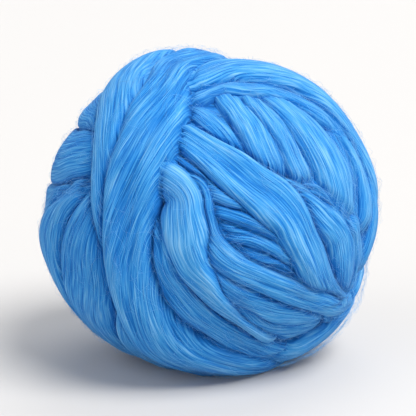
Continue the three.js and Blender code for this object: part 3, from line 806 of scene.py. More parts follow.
@dataclass(frozen=True)
class WoolFinish:
    """Finish of the wool: streaks of paler and deeper fibres, a soft sheen and a fine fibre bump.

    The weights say how much each kind of streak counts, and the places where a colour stands lie
    between the crease colour at nought and the pale colour at one. The pieces' tone carries painted
    shade, so the crease colour is painted shade in creases and grooves, and the pale end is partly
    painted light on crests and ridges.
    """

    name: str = "blue_wool"
    # colour of the painted shade in creases and grooves
    crease: Colour = (0.001, 0.074, 0.275)
    deep: Colour = (0.008, 0.152, 0.490)
    deep_place: float = 0.32
    middle: Colour = (0.044, 0.268, 0.595)
    middle_place: float = 0.60
    pale: Colour = (0.200, 0.455, 0.725)
    roughness: float = 0.8
    specular: float = 0.12
    anisotropy: float = 0.2
    sheen: float = 0.09
    sheen_roughness: float = 0.45
    sheen_tint: Colour = (0.50, 0.75, 1.0)
    broad_waver: Streaks = Streaks(24.0, 80.0)
    broad_waver_reach: float = 0.0016
    fine_waver: Streaks = Streaks(60.0, 200.0)
    fine_waver_reach: float = 0.0014
    bands: Streaks = Streaks(14.0, 210.0)
    bands_weight: float = 0.18
    locks: Streaks = Streaks(32.0, 620.0)
    locks_weight: float = 0.50
    locks_relief: float = 0.6
    hairs: Streaks = Streaks(45.0, 1500.0, detail=2.0)
    hairs_weight: float = 1.5
    hairs_relief: float = 0.5
    # greyer colour of the fuzz on raised wool: real fibres, with a painted sheen
    haze: Colour = (0.090, 0.250, 0.520)
    haze_clouds: Streaks = Streaks(22.0, 45.0, detail=2.0)
    haze_from: float = 0.50
    haze_to: float = 0.72
    haze_share: float = 0.42
    bump_distance: float = 0.0014
    bump_strength: float = 0.7

    def build(self) -> bpy.types.Material:
        """Builds the material.

        Returns:
            A material that reads each piece's own fibre attributes.
        """
        material = bpy.data.materials.new(self.name)
        material.use_nodes = True
        tree = material.node_tree
        shader = tree.nodes["Principled BSDF"]
        shader.inputs["Roughness"].default_value = self.roughness
        shader.inputs["Specular IOR Level"].default_value = self.specular
        shader.inputs["Anisotropic"].default_value = self.anisotropy
        shader.inputs["Sheen Weight"].default_value = self.sheen
        shader.inputs["Sheen Roughness"].default_value = self.sheen_roughness
        shader.inputs["Sheen Tint"].default_value = (*self.sheen_tint, 1.0)
        grain = self.attribute(tree, "grain").outputs["Vector"]
        # The tone attribute carries painted shade in creases and grooves and painted light on crests.
        tone = self.attribute(tree, "tone").outputs["Fac"]
        wavy = self.wavering(tree, grain, self.broad_waver, self.broad_waver_reach)
        crossing = self.wavering(tree, wavy, self.fine_waver, self.fine_waver_reach)
        bands = self.noise(tree, wavy, self.bands)
        locks = self.noise(tree, crossing, self.locks)
        hairs = self.noise(tree, wavy, self.hairs)
        weights = [
            (tone, 1.0),
            (bands, self.bands_weight),
            (locks, self.locks_weight),
            (hairs, self.hairs_weight),
        ]
        total = self.weighted(tree, weights, middle=0.5)
        colour = self.painted_fuzz_sheen(tree, self.coloured(tree, total), total, grain)
        tree.links.new(colour, shader.inputs["Base Color"])
        relief = self.weighted(tree, [(locks, self.locks_relief), (hairs, self.hairs_relief)], middle=0.5)
        bump = tree.nodes.new("ShaderNodeBump")
        bump.inputs["Strength"].default_value = self.bump_strength
        bump.inputs["Distance"].default_value = self.bump_distance
        tree.links.new(relief, bump.inputs["Height"])
        tree.links.new(bump.outputs["Normal"], shader.inputs["Normal"])
        tangent = tree.nodes.new("ShaderNodeTangent")
        tangent.direction_type = "UV_MAP"
        tangent.uv_map = FIBRE_MAP
        tree.links.new(tangent.outputs["Tangent"], shader.inputs["Tangent"])
        return material

    def attribute(self, tree: NodeTree, name: str) -> bpy.types.Node:
        """Adds a node that reads one of the pieces' own attributes.

        Args:
            tree: The material's nodes.
            name: The attribute's name.

        Returns:
            The node.
        """
        node = tree.nodes.new("ShaderNodeAttribute")
        node.attribute_name = name
        return node

    def coloured(self, tree: NodeTree, total: Socket) -> Socket:
        """Colours the wool by how light it is.

        Args:
            tree: The material's nodes.
            total: The socket that gives how light the wool is, from nought to one, with the painted shade
                and light of the pieces' tone.

        Returns:
            The socket that gives the colour.
        """
        ramp = tree.nodes.new("ShaderNodeValToRGB")
        stops = ramp.color_ramp.elements
        stops[0].position, stops[0].color = 0.0, (*self.crease, 1.0)
        stops[1].position, stops[1].color = 1.0, (*self.pale, 1.0)
        for position, colour in ((self.deep_place, self.deep), (self.middle_place, self.middle)):
            stop = stops.new(position)
            stop.color = (*colour, 1.0)
        tree.links.new(total, ramp.inputs["Fac"])
        return ramp.outputs["Color"]

    def painted_fuzz_sheen(self, tree: NodeTree, colour: Socket, total: Socket, grain: Socket) -> Socket:
        """Greys the raised wool in soft patches, where fine fibres lie across it, as a painted sheen of
        that fuzz.

        Args:
            tree: The material's nodes.
            colour: The wool's colour.
            total: How light the wool is, from nought to one.
            grain: The fibre coordinates, in metres.

        Returns:
            The socket that gives the colour with its haze.
        """
        haze = tree.nodes.new("ShaderNodeMapRange")
        haze.inputs["From Min"].default_value = self.haze_from
        haze.inputs["From Max"].default_value = self.haze_to
        haze.inputs["To Max"].default_value = self.haze_share
        tree.links.new(self.noise(tree, grain, self.haze_clouds), haze.inputs["Value"])
        raised = tree.nodes.new("ShaderNodeMath")
        raised.operation = "MULTIPLY"
        raised.use_clamp = True
        tree.links.new(haze.outputs["Result"], raised.inputs[0])
        tree.links.new(total, raised.inputs[1])
        mix = tree.nodes.new("ShaderNodeMixRGB")
        mix.inputs["Color2"].default_value = (*self.haze, 1.0)
        tree.links.new(raised.outputs["Value"], mix.inputs["Fac"])
        tree.links.new(colour, mix.inputs["Color1"])
        return mix.outputs["Color"]

    def wavering(self, tree: NodeTree, grain: Socket, waver: Streaks, reach: float) -> Socket:
        """Lets the fibres waver from side to side.

        Args:
            tree: The material's nodes.
            grain: The fibre coordinates, in metres.
            waver: Where the fibres waver.
            reach: How far a fibre wavers, in metres.

        Returns:
            The socket that gives the moved coordinates.
        """
        centred = tree.nodes.new("ShaderNodeMath")
        centred.operation = "MULTIPLY_ADD"
        centred.inputs[1].default_value = 2 * reach
        centred.inputs[2].default_value = -reach
        sideways = tree.nodes.new("ShaderNodeCombineXYZ")
        moved = tree.nodes.new("ShaderNodeVectorMath")
        moved.operation = "ADD"
        tree.links.new(self.noise(tree, grain, waver), centred.inputs[0])
        tree.links.new(centred.outputs["Value"], sideways.inputs["Z"])
        tree.links.new(grain, moved.inputs[0])
        tree.links.new(sideways.outputs["Vector"], moved.inputs[1])
        return moved.outputs["Vector"]

    def noise(self, tree: NodeTree, grain: Socket, streaks: Streaks) -> Socket:
        """Adds noise that is drawn out along the fibres.

        Args:
            tree: The material's nodes.
            grain: The fibre coordinates, in metres.
            streaks: Its size and detail.

        Returns:
            The socket that gives the noise.
        """
        mapping = tree.nodes.new("ShaderNodeMapping")
        mapping.inputs["Scale"].default_value = (streaks.along, streaks.along, streaks.across)
        noise = tree.nodes.new("ShaderNodeTexNoise")
        noise.inputs["Scale"].default_value = 1.0
        noise.inputs["Detail"].default_value = streaks.detail
        tree.links.new(grain, mapping.inputs["Vector"])
        tree.links.new(mapping.outputs["Vector"], noise.inputs["Vector"])
        return noise.outputs["Fac"]

    def weighted(self, tree: NodeTree, terms: list[tuple[Socket, float]], middle: float) -> Socket:
        """Adds up several values that lie about one half, each by its weight.

        Args:
            tree: The material's nodes.
            terms: Pairs of a socket and its weight.
            middle: What the sum is where every value is one half.

        Returns:
            The socket that gives the sum.
        """
        total: Socket | None = None
        start = middle - 0.5 * sum(weight for _, weight in terms)
        for socket, weight in terms:
            step = tree.nodes.new("ShaderNodeMath")
            step.operation = "MULTIPLY_ADD"
            step.inputs[1].default_value = weight
            step.inputs[2].default_value = start
            tree.links.new(socket, step.inputs[0])
            if total is not None:
                tree.links.new(total, step.inputs[2])
            total = step.outputs["Value"]
        return total


@dataclass(frozen=True)
class LooseFinish:
    """Finish of the loose fibres, which are paler because light shines through them."""

    name: str = "loose_fibre"
    colour: Colour = (0.16, 0.44, 0.80)
    darkest: float = 0.6
    dark_place: float = 0.35
    light_place: float = 0.65
    patches_per_metre: float = 160.0
    roughness: float = 0.7

    def build(self) -> bpy.types.Material:
        """Builds the material.

        Returns:
            The finished material.
        """
        material = bpy.data.materials.new(self.name)
        material.use_nodes = True
        tree = material.node_tree
        shader = tree.nodes["Principled BSDF"]
        shader.inputs["Roughness"].default_value = self.roughness
        place = tree.nodes.new("ShaderNodeTexCoord")
        noise = tree.nodes.new("ShaderNodeTexNoise")
        noise.inputs["Scale"].default_value = self.patches_per_metre
        ramp = tree.nodes.new("ShaderNodeValToRGB")
        stops = ramp.color_ramp.elements
        dark = (self.darkest * value for value in self.colour)
        stops[0].position, stops[0].color = self.dark_place, (*dark, 1.0)
        stops[1].position, stops[1].color = self.light_place, (*self.colour, 1.0)
        tree.links.new(place.outputs["Object"], noise.inputs["Vector"])
        tree.links.new(noise.outputs["Fac"], ramp.inputs["Fac"])
        tree.links.new(ramp.outputs["Color"], shader.inputs["Base Color"])
        return material


@dataclass
class WrapMesh:
    """The mesh of one wrap: a closed, lens-shaped length of roving with its fibre locks.

    Lengths are in millimetres. The steps are the sizes of the mesh's faces. meeting is where the wrap
    meets its neighbours. The tone is darker in creases, in the locks' grooves and where wraps meet, as
    painted shade, and lighter on crests and ridges, as painted light.
    """

    winding: Winding
    creases: CreaseMap
    number: int
    across_step: float = 0.85
    along_step: float = 2.6
    lean_closeness: float = 1.5  # how much closer columns lie where the fibres lean
    least_columns: int = 12
    least_outer_rows: int = 8
    least_inner_rows: int = 4
    inner_share: int = 6  # rows over the wrap for each row under it
    first_seed: int = 1000  # of the random draws; each wrap adds its own number
    under_depth: float = 2.5  # how far the wrap's underside hangs below its edges
    end_narrowing: float = 9.0  # length in which an end draws in
    edge_wander: float = 0.9  # how far the edges stray from their even line
    edge_wander_length: float = 40.0
    fibre_wander: float = 1.6  # how far the fibres stray sideways
    fibre_wander_length: float = 70.0
    fibre_wander_width: float = 14.0
    front_place: float = 0.18  # of a closed wrap, the share of its length where the front lies
    edge_fade: int = 12  # how late the locks fade towards the edges, more being later
    groove_width: float = 0.16  # of the noise, within which two locks have parted
    open_width: float = 3.0  # widths of a lock over which partings open and close
    usual_openness: float = 0.4
    order_clearance: float = 0.02  # between two wraps where both are pressed flat
    usual_tone: float = 0.5
    # painted shade in the locks' grooves and painted light on their ridges, for each millimetre of relief
    relief_painted_shading: float = 0.10
    # painted shade in creases and painted light on crests, for each millimetre of depth below what is near
    crease_painted_shading: float = 0.085
    most_crest: float = 1.5  # height above what is near, past which the painted light on crests gets no lighter
    most_depth: float = 4.5  # depth below what is near, past which the painted shade in creases gets no darker
    meeting_depth: float = 4.2  # of the groove where wraps meet
    meeting_reach: float = 1.8  # between the heights of two wraps, over which the groove fades
    meeting_limit: float = 14.0  # the most that two heights are told apart
    meeting_lanes: int = 41
    meeting_lanes_reach: float = 0.999  # share of the half width that those lanes reach
    # painted shade where wraps meet
    meeting_painted_shade: float = 0.26
    meeting_shade_reach: float = 0.9
    strand_depth: float = 1.7
    strand_crease: float = 0.14  # width of a crease between strands, in strands
    grain_shift: float = 0.37  # metres by which the fibre coordinates of two wraps differ
    least_slant: float = 1e-9  # keeps the slant above nought
    merge_distance: float = 2e-6  # metres

    @property
    def wrap(self) -> Wrap:
        """The wrap that the mesh shows."""
        return self.winding.wraps[self.number]

    def stations(self) -> dict[str, Array]:
        """Reads the wrap closely spaced along its length.

        Returns:
            The distance along, the middle and across directions, the half width, the crest and the
            wool below, by name.
        """
        wrap = self.wrap
        closed = wrap.lay.closed
        closeness = 1 + self.lean_closeness * abs(math.tan(math.radians(wrap.lay.lean)))
        count = max(self.least_columns, round(wrap.length / self.along_step * closeness))
        coarse = len(wrap.along)
        places = np.linspace(0, coarse if closed else coarse - 1, count + 1)
        middle = unit(resample(wrap.middle, places, closed))
        across = resample(wrap.across, places, closed)
        across -= np.sum(across * middle, axis=1, keepdims=True) * middle
        return {
            "along": np.linspace(0, wrap.length, count + 1),
            "middle": middle,
            "across": unit(across),
            "half": resample(wrap.half, places, closed),
            "crest": np.maximum(resample(wrap.crest, places, closed), 0),
            "below": resample(wrap.below, places, closed),
        }

    def drift(self, along: Array) -> Array:
        """How far the fibres have moved across the wrap.

        Args:
            along: Distance along the wrap.

        Returns:
            How far they have moved at each distance.
        """
        wrap = self.wrap
        slope = math.tan(math.radians(wrap.lay.lean))
        if not wrap.lay.closed:
            return slope * along
        turn = 2 * math.pi / wrap.length
        return slope / turn * np.sin(turn * (along - self.front_place * wrap.length))

    def relief(self, rng: np.random.Generator, along: Array, fibre: Array) -> Array:
        """Height of the fibre locks.

        Args:
            rng: Where the random values come from.
            along: Distance along the wrap.
            fibre: Which fibre it is, as a distance across the wrap.

        Returns:
            Heights in millimetres, about zero on the whole.
        """
        loop = self.wrap.length if self.wrap.lay.closed else None
        total = np.zeros_like(fibre)
        for lock in LOCKS:
            total += lock.depth * lattice_noise(rng, along, fibre, lock.length, lock.width, loop)
            parting = lattice_noise(rng, along, fibre, lock.length, lock.width, loop)
            openness = lattice_noise(rng, along, fibre, lock.length, self.open_width * lock.width, loop)
            groove = np.exp(-((parting / self.groove_width) ** 2))
            total -= lock.crease * groove * np.clip(self.usual_openness + openness, 0, 1)
        return total - self.partings(fibre)

    def partings(self, fibre: Array) -> Array:
        """Depth of the creases between the strands that a wrap has parted into.

        Args:
            fibre: Which fibre it is, as a distance across the wrap.

        Returns:
            Depths in millimetres.
        """
        strands = self.wrap.lay.strands
        if not strands:
            return np.zeros_like(fibre)
        place = fibre / (2 * self.wrap.half.mean()) * strands + 0.5 * strands
        to_crease = np.abs(place - np.rint(place))
        return self.strand_depth * np.exp(-to_crease / self.strand_crease)

    def apart(self, places: Array, ring: Array) -> Array:
        """How far the wrap's surface lies from where it meets its neighbours, as a height.

        Args:
            places: Distance along the wrap of each column.
            ring: Place across the wrap of each row, from -1 to 1.

        Returns:
            Differences in height in millimetres for all columns and rows, nought where wraps meet.
        """
        wrap = self.wrap
        if wrap.lay.family is Family.INNER:
            return np.full((len(places), len(ring)), self.meeting_limit)
        lanes = np.linspace(-1, 1, self.meeting_lanes) * self.meeting_lanes_reach
        directions = wrap.lane_directions(lanes)
        gaps = self.winding.stands_out(self.number, directions.reshape(-1, 3), self.meeting_limit)
        gaps = gaps.reshape(directions.shape[:2])
        coarse = len(wrap.along)
        steps = np.linspace(0, coarse if wrap.lay.closed else coarse - 1, len(places))
        rows = resample(gaps, steps, wrap.lay.closed)
        return np.abs(between_columns(rows, (ring + 1) / 2 * (self.meeting_lanes - 1)))

    def build(self, finish: bpy.types.Material) -> bpy.types.Object:
        """Builds the wrap's mesh: a flat grid, rolled to a lens section and laid round the ball.

        Args:
            finish: The wool's material.

        Returns:
            The wrap as an object at the origin.
        """
        wrap = self.wrap
        lay = wrap.lay
        rng = np.random.default_rng(self.first_seed + self.number)
        s = self.stations()
        columns = len(s["along"])
        outer = max(self.least_outer_rows, round(2 * s["half"].max() / self.across_step))
        inner = max(self.least_inner_rows, outer // self.inner_share)
        ring = np.concatenate([np.linspace(-1, 1, outer + 1), np.linspace(1, -1, inner + 1)[1:]])
        upper = np.arange(len(ring)) <= outer
        along = np.repeat(s["along"][:, None], len(ring), axis=1)
        loop = wrap.length if lay.closed else None
        edge = lattice_noise(rng, s["along"], np.zeros(columns), self.edge_wander_length, 1.0, loop)
        half = s["half"] + self.edge_wander * edge
        if not lay.closed:
            to_end = np.minimum(s["along"], wrap.length - s["along"])
            half = half * np.sqrt(np.clip(to_end / self.end_narrowing, 0, 1))
        usual_half = s["half"].mean()
        fibre = ring * usual_half - self.drift(along)
        wander = lattice_noise(rng, along, fibre, self.fibre_wander_length, self.fibre_wander_width, loop)
        fibre += self.fibre_wander * wander
        fade = (1 - ring**self.edge_fade) * upper * np.minimum(s["crest"] / lay.crest, 1)[:, None]
        relief = self.relief(rng, along, fibre)
        below = between_columns(s["below"], (ring + 1) / 2 * (wrap.roving.lanes - 1))
        profile = wrap.section(ring)
        lifted = np.where(upper, s["crest"][:, None] * profile, -self.under_depth * profile)
        heights = wrap.roving.sink * below + lay.lift + lifted
        apart = self.apart(s["along"], ring)
        heights -= self.meeting_depth * np.exp(-apart / self.meeting_reach) * upper
        aside = half[:, None] * ring
        rise = np.gradient(heights, axis=1)
        run = np.gradient(aside, axis=1)
        slant = np.hypot(rise, run) + self.least_slant
        heights = heights + relief * fade * np.abs(run) / slant
        aside = aside - relief * fade * rise / slant * np.sign(run)
        directions = turned_aside(s["middle"], s["across"], aside / wrap.roving.wind_radius)
        clearance = self.order_clearance * (len(self.winding.wraps) - 1 - self.number)
        points = self.winding.place(directions, heights, clearance) * MILLIMETRE
        if not lay.closed:
            points[0] = points[0].mean(axis=0)
            points[-1] = points[-1].mean(axis=0)
        # Painted shade and light in the tone: darker in creases, in the locks' grooves and where wraps
        # meet, lighter on crests and ridges.
        depth = self.creases.read(self.creases.depths, directions)
        painted_shading = self.crease_painted_shading * np.clip(depth, -self.most_crest, self.most_depth)
        tone = self.usual_tone + lay.tone + self.relief_painted_shading * relief - painted_shading
        tone -= self.meeting_painted_shade * np.exp(-apart / self.meeting_shade_reach)
        return self.roll(points, along, fibre, tone, finish)

    def grain(self, along: Array, fibre: Array) -> Array:
        """Fibre coordinates, in which the run of the wrap is an arc, so that a closed wrap has no seam.

        Args:
            along: Distance along the wrap.
            fibre: Which fibre it is, as a distance across the wrap.

        Returns:
            Three coordinates in metres for each place.
        """
        radius = self.wrap.length / (2 * math.pi)
        turn = along / radius
        first = radius * np.cos(turn) * MILLIMETRE + self.grain_shift * self.number
        second = radius * np.sin(turn) * MILLIMETRE
        return np.stack([first, second, fibre * MILLIMETRE], axis=-1)

    def roll(
        self, points: Array, along: Array, fibre: Array, tone: Array, finish: bpy.types.Material
    ) -> bpy.types.Object:
        """Rolls a flat grid into the wrap's closed shape.

        Args:
            points: Where each grid point goes, in metres.
            along: Distance along the wrap of each.
            fibre: Which fibre each lies on.
            tone: How light each is, with painted shade in creases and grooves and painted light on crests.
            finish: The wool's material.

        Returns:
            The wrap as an object at the origin.
        """
        columns, rows = points.shape[:2]
        bpy.ops.object.select_all(action="DESELECT")
        bpy.ops.mesh.primitive_grid_add(x_subdivisions=columns - 1, y_subdivisions=rows - 1, size=2.0)
        piece = bpy.context.active_object
        piece.name = self.wrap.lay.name
        mesh = piece.data
        flat = np.empty(len(mesh.vertices) * 3, np.float32)
        mesh.vertices.foreach_get("co", flat)
        flat = flat.reshape(-1, 3)
        i = np.rint((flat[:, 0] + 1) / 2 * (columns - 1)).astype(int)
        j = np.rint((flat[:, 1] + 1) / 2 * (rows - 1)).astype(int)
        mesh.vertices.foreach_set("co", points[i, j].astype(np.float32).ravel())
        corners = np.empty(len(mesh.loops), np.int32)
        mesh.loops.foreach_get("vertex_index", corners)
        layer = mesh.uv_layers.active
        layer.name = FIBRE_MAP
        pairs = np.stack([along, fibre], axis=-1)[i, j][corners] * MILLIMETRE
        layer.uv.foreach_set("vector", pairs.astype(np.float32).ravel())
        grain = mesh.attributes.new("grain", "FLOAT_VECTOR", "POINT")
        grain.data.foreach_set("vector", self.grain(along, fibre)[i, j].astype(np.float32).ravel())
        tones = mesh.attributes.new("tone", "FLOAT", "POINT")
        tones.data.foreach_set("value", tone[i, j].astype(np.float32).ravel())
        bpy.ops.object.mode_set(mode="EDIT")
        bpy.ops.mesh.select_all(action="SELECT")
        bpy.ops.mesh.remove_doubles(threshold=self.merge_distance)
        bpy.ops.mesh.normals_make_consistent(inside=False)
        bpy.ops.object.mode_set(mode="OBJECT")
        bpy.ops.object.shade_smooth()
        mesh.materials.append(finish)
        return piece


@dataclass
class FamilyPiece:
    """The wraps of one family, joined into one piece that rides on the ball's body."""

    winding: Winding
    creases: CreaseMap
    family: Family
    finish: bpy.types.Material
    hidden_across_step: float = 2.0
    hidden_along_step: float = 6.0

    def shape(self, number: int) -> WrapMesh:
        """Gives the sizes of one wrap's mesh, which is coarser in the family that hardly shows.

        Args:
            number: The wrap's place in the order of winding.

        Returns:
            The mesh, not built yet.
        """
        if self.family is not Family.INNER:
            return WrapMesh(self.winding, self.creases, number)
        steps = {"across_step": self.hidden_across_step, "along_step": self.hidden_along_step}
        return WrapMesh(self.winding, self.creases, number, **steps)

    def build(self) -> bpy.types.Object:
        """Builds the family's wraps and joins them.

        Returns:
            The finished piece.
        """
        parts = []
        for number, wrap in enumerate(self.winding.wraps):
            if wrap.lay.family is self.family:
                parts.append(self.shape(number).build(self.finish))
        bpy.ops.object.select_all(action="DESELECT")
        for part in parts:
            part.select_set(True)
        bpy.context.view_layer.objects.active = parts[0]
        if len(parts) > 1:
            bpy.ops.object.join()
        piece = bpy.context.view_layer.objects.active
        piece.name = f"wool_{self.family.value}"
        piece.data.name = piece.name
        return dress(piece)


@dataclass(frozen=True)
class FibreKind:
    """Loose fibres of one kind.

    length and lift are the shortest and the longest of each, and turned is how far they stray from
    the wool's own direction, in degrees. thickness is across the fibre.
    """

    count: int
    length: tuple[float, float]
    lift: tuple[float, float]
    turned: float
    thickness: float


# Stray fibres that lie on the wool, and short ones that stand off it as fuzz.
FIBRE_KINDS: tuple[FibreKind, ...] = (
    FibreKind(count=1500, length=(14, 34), lift=(0.4, 1.2), turned=12, thickness=0.10),
    FibreKind(count=3900, length=(5, 13), lift=(0.9, 2.8), turned=45, thickness=0.07),
)


@dataclass
class LooseFibres:
    """Fibres that have come loose from the wool, as thin three-sided threads in one piece."""

    winding: Winding
    creases: CreaseMap
    seed: int = 77
    batch: int = 200  # wraps picked at a time
    tries: int = 3  # places tried for each pick
    widest_place: float = 0.9  # of the half width, past which no fibre starts
    segments: int = 6
    sides: int = 3
    bury: float = 0.8  # how deep the ends lie, in millimetres
    curl: float = 0.12  # share of its length that a fibre bends aside
    waver: float = 0.03  # share of its length that a fibre wavers
    waver_turn: float = 9.0  # radians of the waver over the whole length
    most_lean: float = 0.8  # how far off its middle a fibre may stand highest
    tip_share: float = 0.3  # of the thickness, left at the tips

    def roots(self, rng: np.random.Generator, count: int) -> tuple[Array, Array, Array]:
        """Picks places on the wool where fibres lie.

        Args:
            rng: Where the random values come from.
            count: How many.

        Returns:
            Directions to the middles of the fibres, the wool's own direction there and the
            direction across it.
        """
        wraps = self.winding.wraps
        outer = [number for number, wrap in enumerate(wraps) if wrap.lay.family is not Family.INNER]
        lengths = np.array([wraps[number].length for number in outer])
        found: list[Array] = []
        total = 0
        while total < count:
            picks = rng.choice(len(outer), size=self.batch, p=lengths / lengths.sum())
            for pick in np.unique(picks):
                number = outer[pick]
                wrap = wraps[number]
                size = int((picks == pick).sum()) * self.tries
                station = rng.integers(0, len(wrap.along), size)
                t = rng.uniform(-self.widest_place, self.widest_place, size)
                angle = wrap.half[station] * t / wrap.roving.wind_radius
                middle = wrap.middle[station] * np.cos(angle)[:, None]
                middle += wrap.across[station] * np.sin(angle)[:, None]
                shown = ~self.winding.covered(number, middle, wrap.height_at(middle))
                rows = np.concatenate([middle, wrap.ahead[station], wrap.across[station]], axis=1)[shown]
                found.append(rows)
                total += len(rows)
        rows = rng.permutation(np.concatenate(found))[:count]
        return rows[:, :3], rows[:, 3:6], rows[:, 6:]

    def paths(self, rng: np.random.Generator, kind: FibreKind) -> Array:
        """Lays the fibres of one kind over the ball.

        Args:
            rng: Where the random values come from.
            kind: What they are like.

        Returns:
            Points in metres: one row of points for each fibre.
        """
        middle, ahead, across = self.roots(rng, kind.count)
        turned = np.radians(rng.normal(0, kind.turned, kind.count))[:, None]
        heading = ahead * np.cos(turned) + across * np.sin(turned)
        aside = across * np.cos(turned) - ahead * np.sin(turned)
        length = rng.uniform(*kind.length, kind.count)[:, None]
        curl = rng.normal(0, self.curl, kind.count)[:, None] * length
        waver = rng.normal(0, self.waver, kind.count)[:, None] * length
        share = np.linspace(-0.5, 0.5, self.segments + 1)[None]
        radius = self.winding.roving.wind_radius
        along = (share * length / radius)[..., None]
        sideways = (4 * share**2 * curl + np.sin(self.waver_turn * share) * waver) / radius
        directions = unit(middle[:, None] + heading[:, None] * along + aside[:, None] * sideways[..., None])
        lift = rng.uniform(*kind.lift, kind.count)[:, None]
        lean = rng.uniform(-self.most_lean, self.most_lean, kind.count)[:, None]
        arch = (lift + self.bury) * (1 - 4 * share**2) * (1 + lean * 2 * share) - self.bury
        heights = self.creases.read(self.creases.heights, directions) + arch
        return self.winding.place(directions, heights, kind.thickness) * MILLIMETRE

    def tubes(self, paths: Array, thickness: float) -> Array:
        """Gives fibres their thickness.

        Args:
            paths: Points in metres: one row of points for each fibre.
            thickness: Across a fibre, in millimetres.

        Returns:
            Points in metres: for each fibre a ring of them at each of its points.
        """
        ahead = unit(np.gradient(paths, axis=1))
        out = unit(paths - paths.mean(axis=(0, 1)))
        aside = unit(np.cross(ahead, out))
        over = np.cross(aside, ahead)
        shares = np.array([self.tip_share, *[1.0] * (self.segments - 1), self.tip_share])
        width = thickness / 2 * MILLIMETRE * shares
        corner = np.arange(self.sides) * 2 * math.pi / self.sides
        spoke = aside[:, :, None] * np.cos(corner)[:, None] + over[:, :, None] * np.sin(corner)[:, None]
        return paths[:, :, None] + spoke * width[None, :, None, None]

    def tube_faces(self, count: int) -> Array:
        """Numbers the corners of the fibres' faces.

        Args:
            count: How many fibres there are.

        Returns:
            One row of four corner numbers for each face.
        """
        sides = self.sides
        start = np.arange(count)[:, None, None] * (self.segments + 1) * sides
        ring = start + np.arange(self.segments)[None, :, None] * sides
        corner = np.arange(sides)[None, None]
        after = (corner + 1) % sides
        rows = [ring + corner, ring + after, ring + sides + after, ring + sides + corner]
        return np.stack(rows, -1).reshape(-1, 4)

    def build(self, finish: bpy.types.Material) -> bpy.types.Object:
        """Builds all loose fibres as one piece.

        Args:
            finish: The fibres' material.

        Returns:
            The finished piece.
        """
        rng = np.random.default_rng(self.seed)
        vertices: list[Array] = []
        faces: list[Array] = []
        count = 0
        for kind in FIBRE_KINDS:
            tube = self.tubes(self.paths(rng, kind), kind.thickness)
            vertices.append(tube.reshape(-1, 3))
            faces.append(self.tube_faces(len(tube)) + count)
            count += len(vertices[-1])
        mesh = bpy.data.meshes.new("loose_fibres")
        mesh.from_pydata(np.concatenate(vertices).tolist(), [], np.concatenate(faces).tolist())
        mesh.materials.append(finish)
        piece = bpy.data.objects.new("loose_fibres", mesh)
        bpy.context.scene.collection.objects.link(piece)
        return dress(piece)


def dress(piece: bpy.types.Object) -> bpy.types.Object:
    """Lets a piece of wool ride on the ball's body, in place of the frame's solid.

    Args:
        piece: The finished piece.

    Returns:
        The same piece.
    """
    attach(piece, BODY)
    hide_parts(NODE)
    triangles = sum(len(face.vertices) - 2 for face in piece.data.polygons)
    log.info("%s: %d triangles", piece.name, triangles)
    return piece


@dataclass(frozen=True)
class Light:
    """A soft light from far away, so that the floor is lit evenly.

    towards is where it shines from, seen from the ball, and spread is how wide it looks from there, in
    degrees. power is in watts on each square metre.
    """

    name: str
    towards: tuple[float, float, float]
    spread: float
    power: float
    colour: Colour


LIGHTS: tuple[Light, ...] = (
    Light("key", (0.62, -0.50, 1.15), spread=34.0, power=3.6, colour=(1.0, 0.985, 0.96)),
    Light("fill", (-1.1, -0.7, 0.65), spread=60.0, power=0.98, colour=(0.93, 0.96, 1.0)),
    Light("front", (0.6, -0.9, 0.0), spread=60.0, power=0.85, colour=(1.0, 0.98, 0.96)),
    Light("rim", (0.35, 0.75, 1.0), spread=50.0, power=1.0, colour=(1.0, 1.0, 1.0)),
)


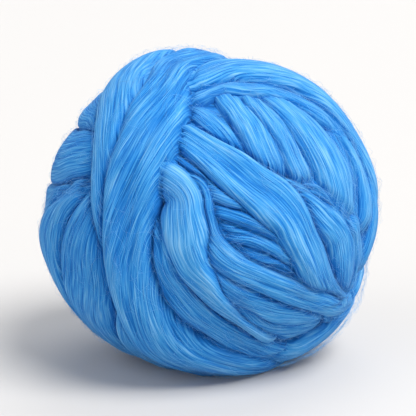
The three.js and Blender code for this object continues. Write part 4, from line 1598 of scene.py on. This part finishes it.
@dataclass
class Studio:
    """A plain pale floor, soft light and the camera at the photograph's angle, in metres."""

    ball_middle: Vector
    elevation: float = 12.0
    distance: float = 1.0
    lens: float = 122.0
    sensor: float = 36.0
    aim_offset: tuple[float, float, float] = (-0.0011, 0.0, 0.0036)
    floor_size: float = 60.0
    floor_colour: Colour = (0.56, 0.55, 0.54)
    floor_roughness: float = 0.75
    world_colour: Colour = (0.95, 0.96, 1.0)
    world_strength: float = 0.44

    def build(self) -> None:
        """Adds the camera, the floor, the lights and the sky."""
        self.add_camera()
        self.add_floor()
        for light in LIGHTS:
            self.add_light(light)
        self.add_world()
        bpy.context.scene.view_settings.view_transform = "Standard"

    def add_camera(self) -> None:
        """Adds the camera and makes it the scene's own."""
        rise = math.radians(self.elevation)
        back = Vector((0.0, -math.cos(rise), math.sin(rise)))
        data = bpy.data.cameras.new("camera")
        data.lens = self.lens
        data.sensor_width = self.sensor
        data.dof.use_dof = False
        camera = bpy.data.objects.new("camera", data)
        bpy.context.scene.collection.objects.link(camera)
        aim = self.ball_middle + Vector(self.aim_offset)
        camera.location = aim + back * self.distance
        camera.rotation_euler = (-back).to_track_quat("-Z", "Y").to_euler()
        bpy.context.scene.camera = camera

    def add_floor(self) -> None:
        """Adds the floor, which isn't part of the ball."""
        bpy.ops.object.select_all(action="DESELECT")
        bpy.ops.mesh.primitive_plane_add(size=self.floor_size, location=(0.0, 0.0, 0.0))
        floor = bpy.context.active_object
        floor.name = "floor"
        material = bpy.data.materials.new("pale_floor")
        material.use_nodes = True
        shader = material.node_tree.nodes["Principled BSDF"]
        shader.inputs["Base Color"].default_value = (*self.floor_colour, 1.0)
        shader.inputs["Roughness"].default_value = self.floor_roughness
        floor.data.materials.append(material)

    def add_light(self, light: Light) -> None:
        """Adds one of the studio's lights.

        Args:
            light: The light.
        """
        data = bpy.data.lights.new(light.name, "SUN")
        data.angle = math.radians(light.spread)
        data.energy = light.power
        data.color = light.colour
        lamp = bpy.data.objects.new(light.name, data)
        bpy.context.scene.collection.objects.link(lamp)
        lamp.location = self.ball_middle + Vector(light.towards)
        lamp.rotation_euler = (-Vector(light.towards)).to_track_quat("-Z", "Y").to_euler()

    def add_world(self) -> None:
        """Adds an even, pale sky."""
        world = bpy.data.worlds.new("studio")
        world.use_nodes = True
        background = world.node_tree.nodes["Background"]
        background.inputs["Color"].default_value = (*self.world_colour, 1.0)
        background.inputs["Strength"].default_value = self.world_strength
        bpy.context.scene.world = world


def main() -> None:
    """Winds the ball, builds its pieces and sets up the studio."""
    logging.basicConfig(level=logging.INFO, format="%(name)s: %(message)s")
    roving = Roving()
    winding = Winding(roving)
    log.info("wound %d wraps, middle at %s", len(winding.wraps), np.round(winding.offset, 2))
    Studio(Vector(winding.offset * MILLIMETRE)).build()
    creases = CreaseMap(winding)
    wool = WoolFinish().build()
    for family in Family:
        FamilyPiece(winding, creases, family, wool).build()
    LooseFibres(winding, creases).build(LooseFinish().build())


if __name__ == "__main__":
    main()
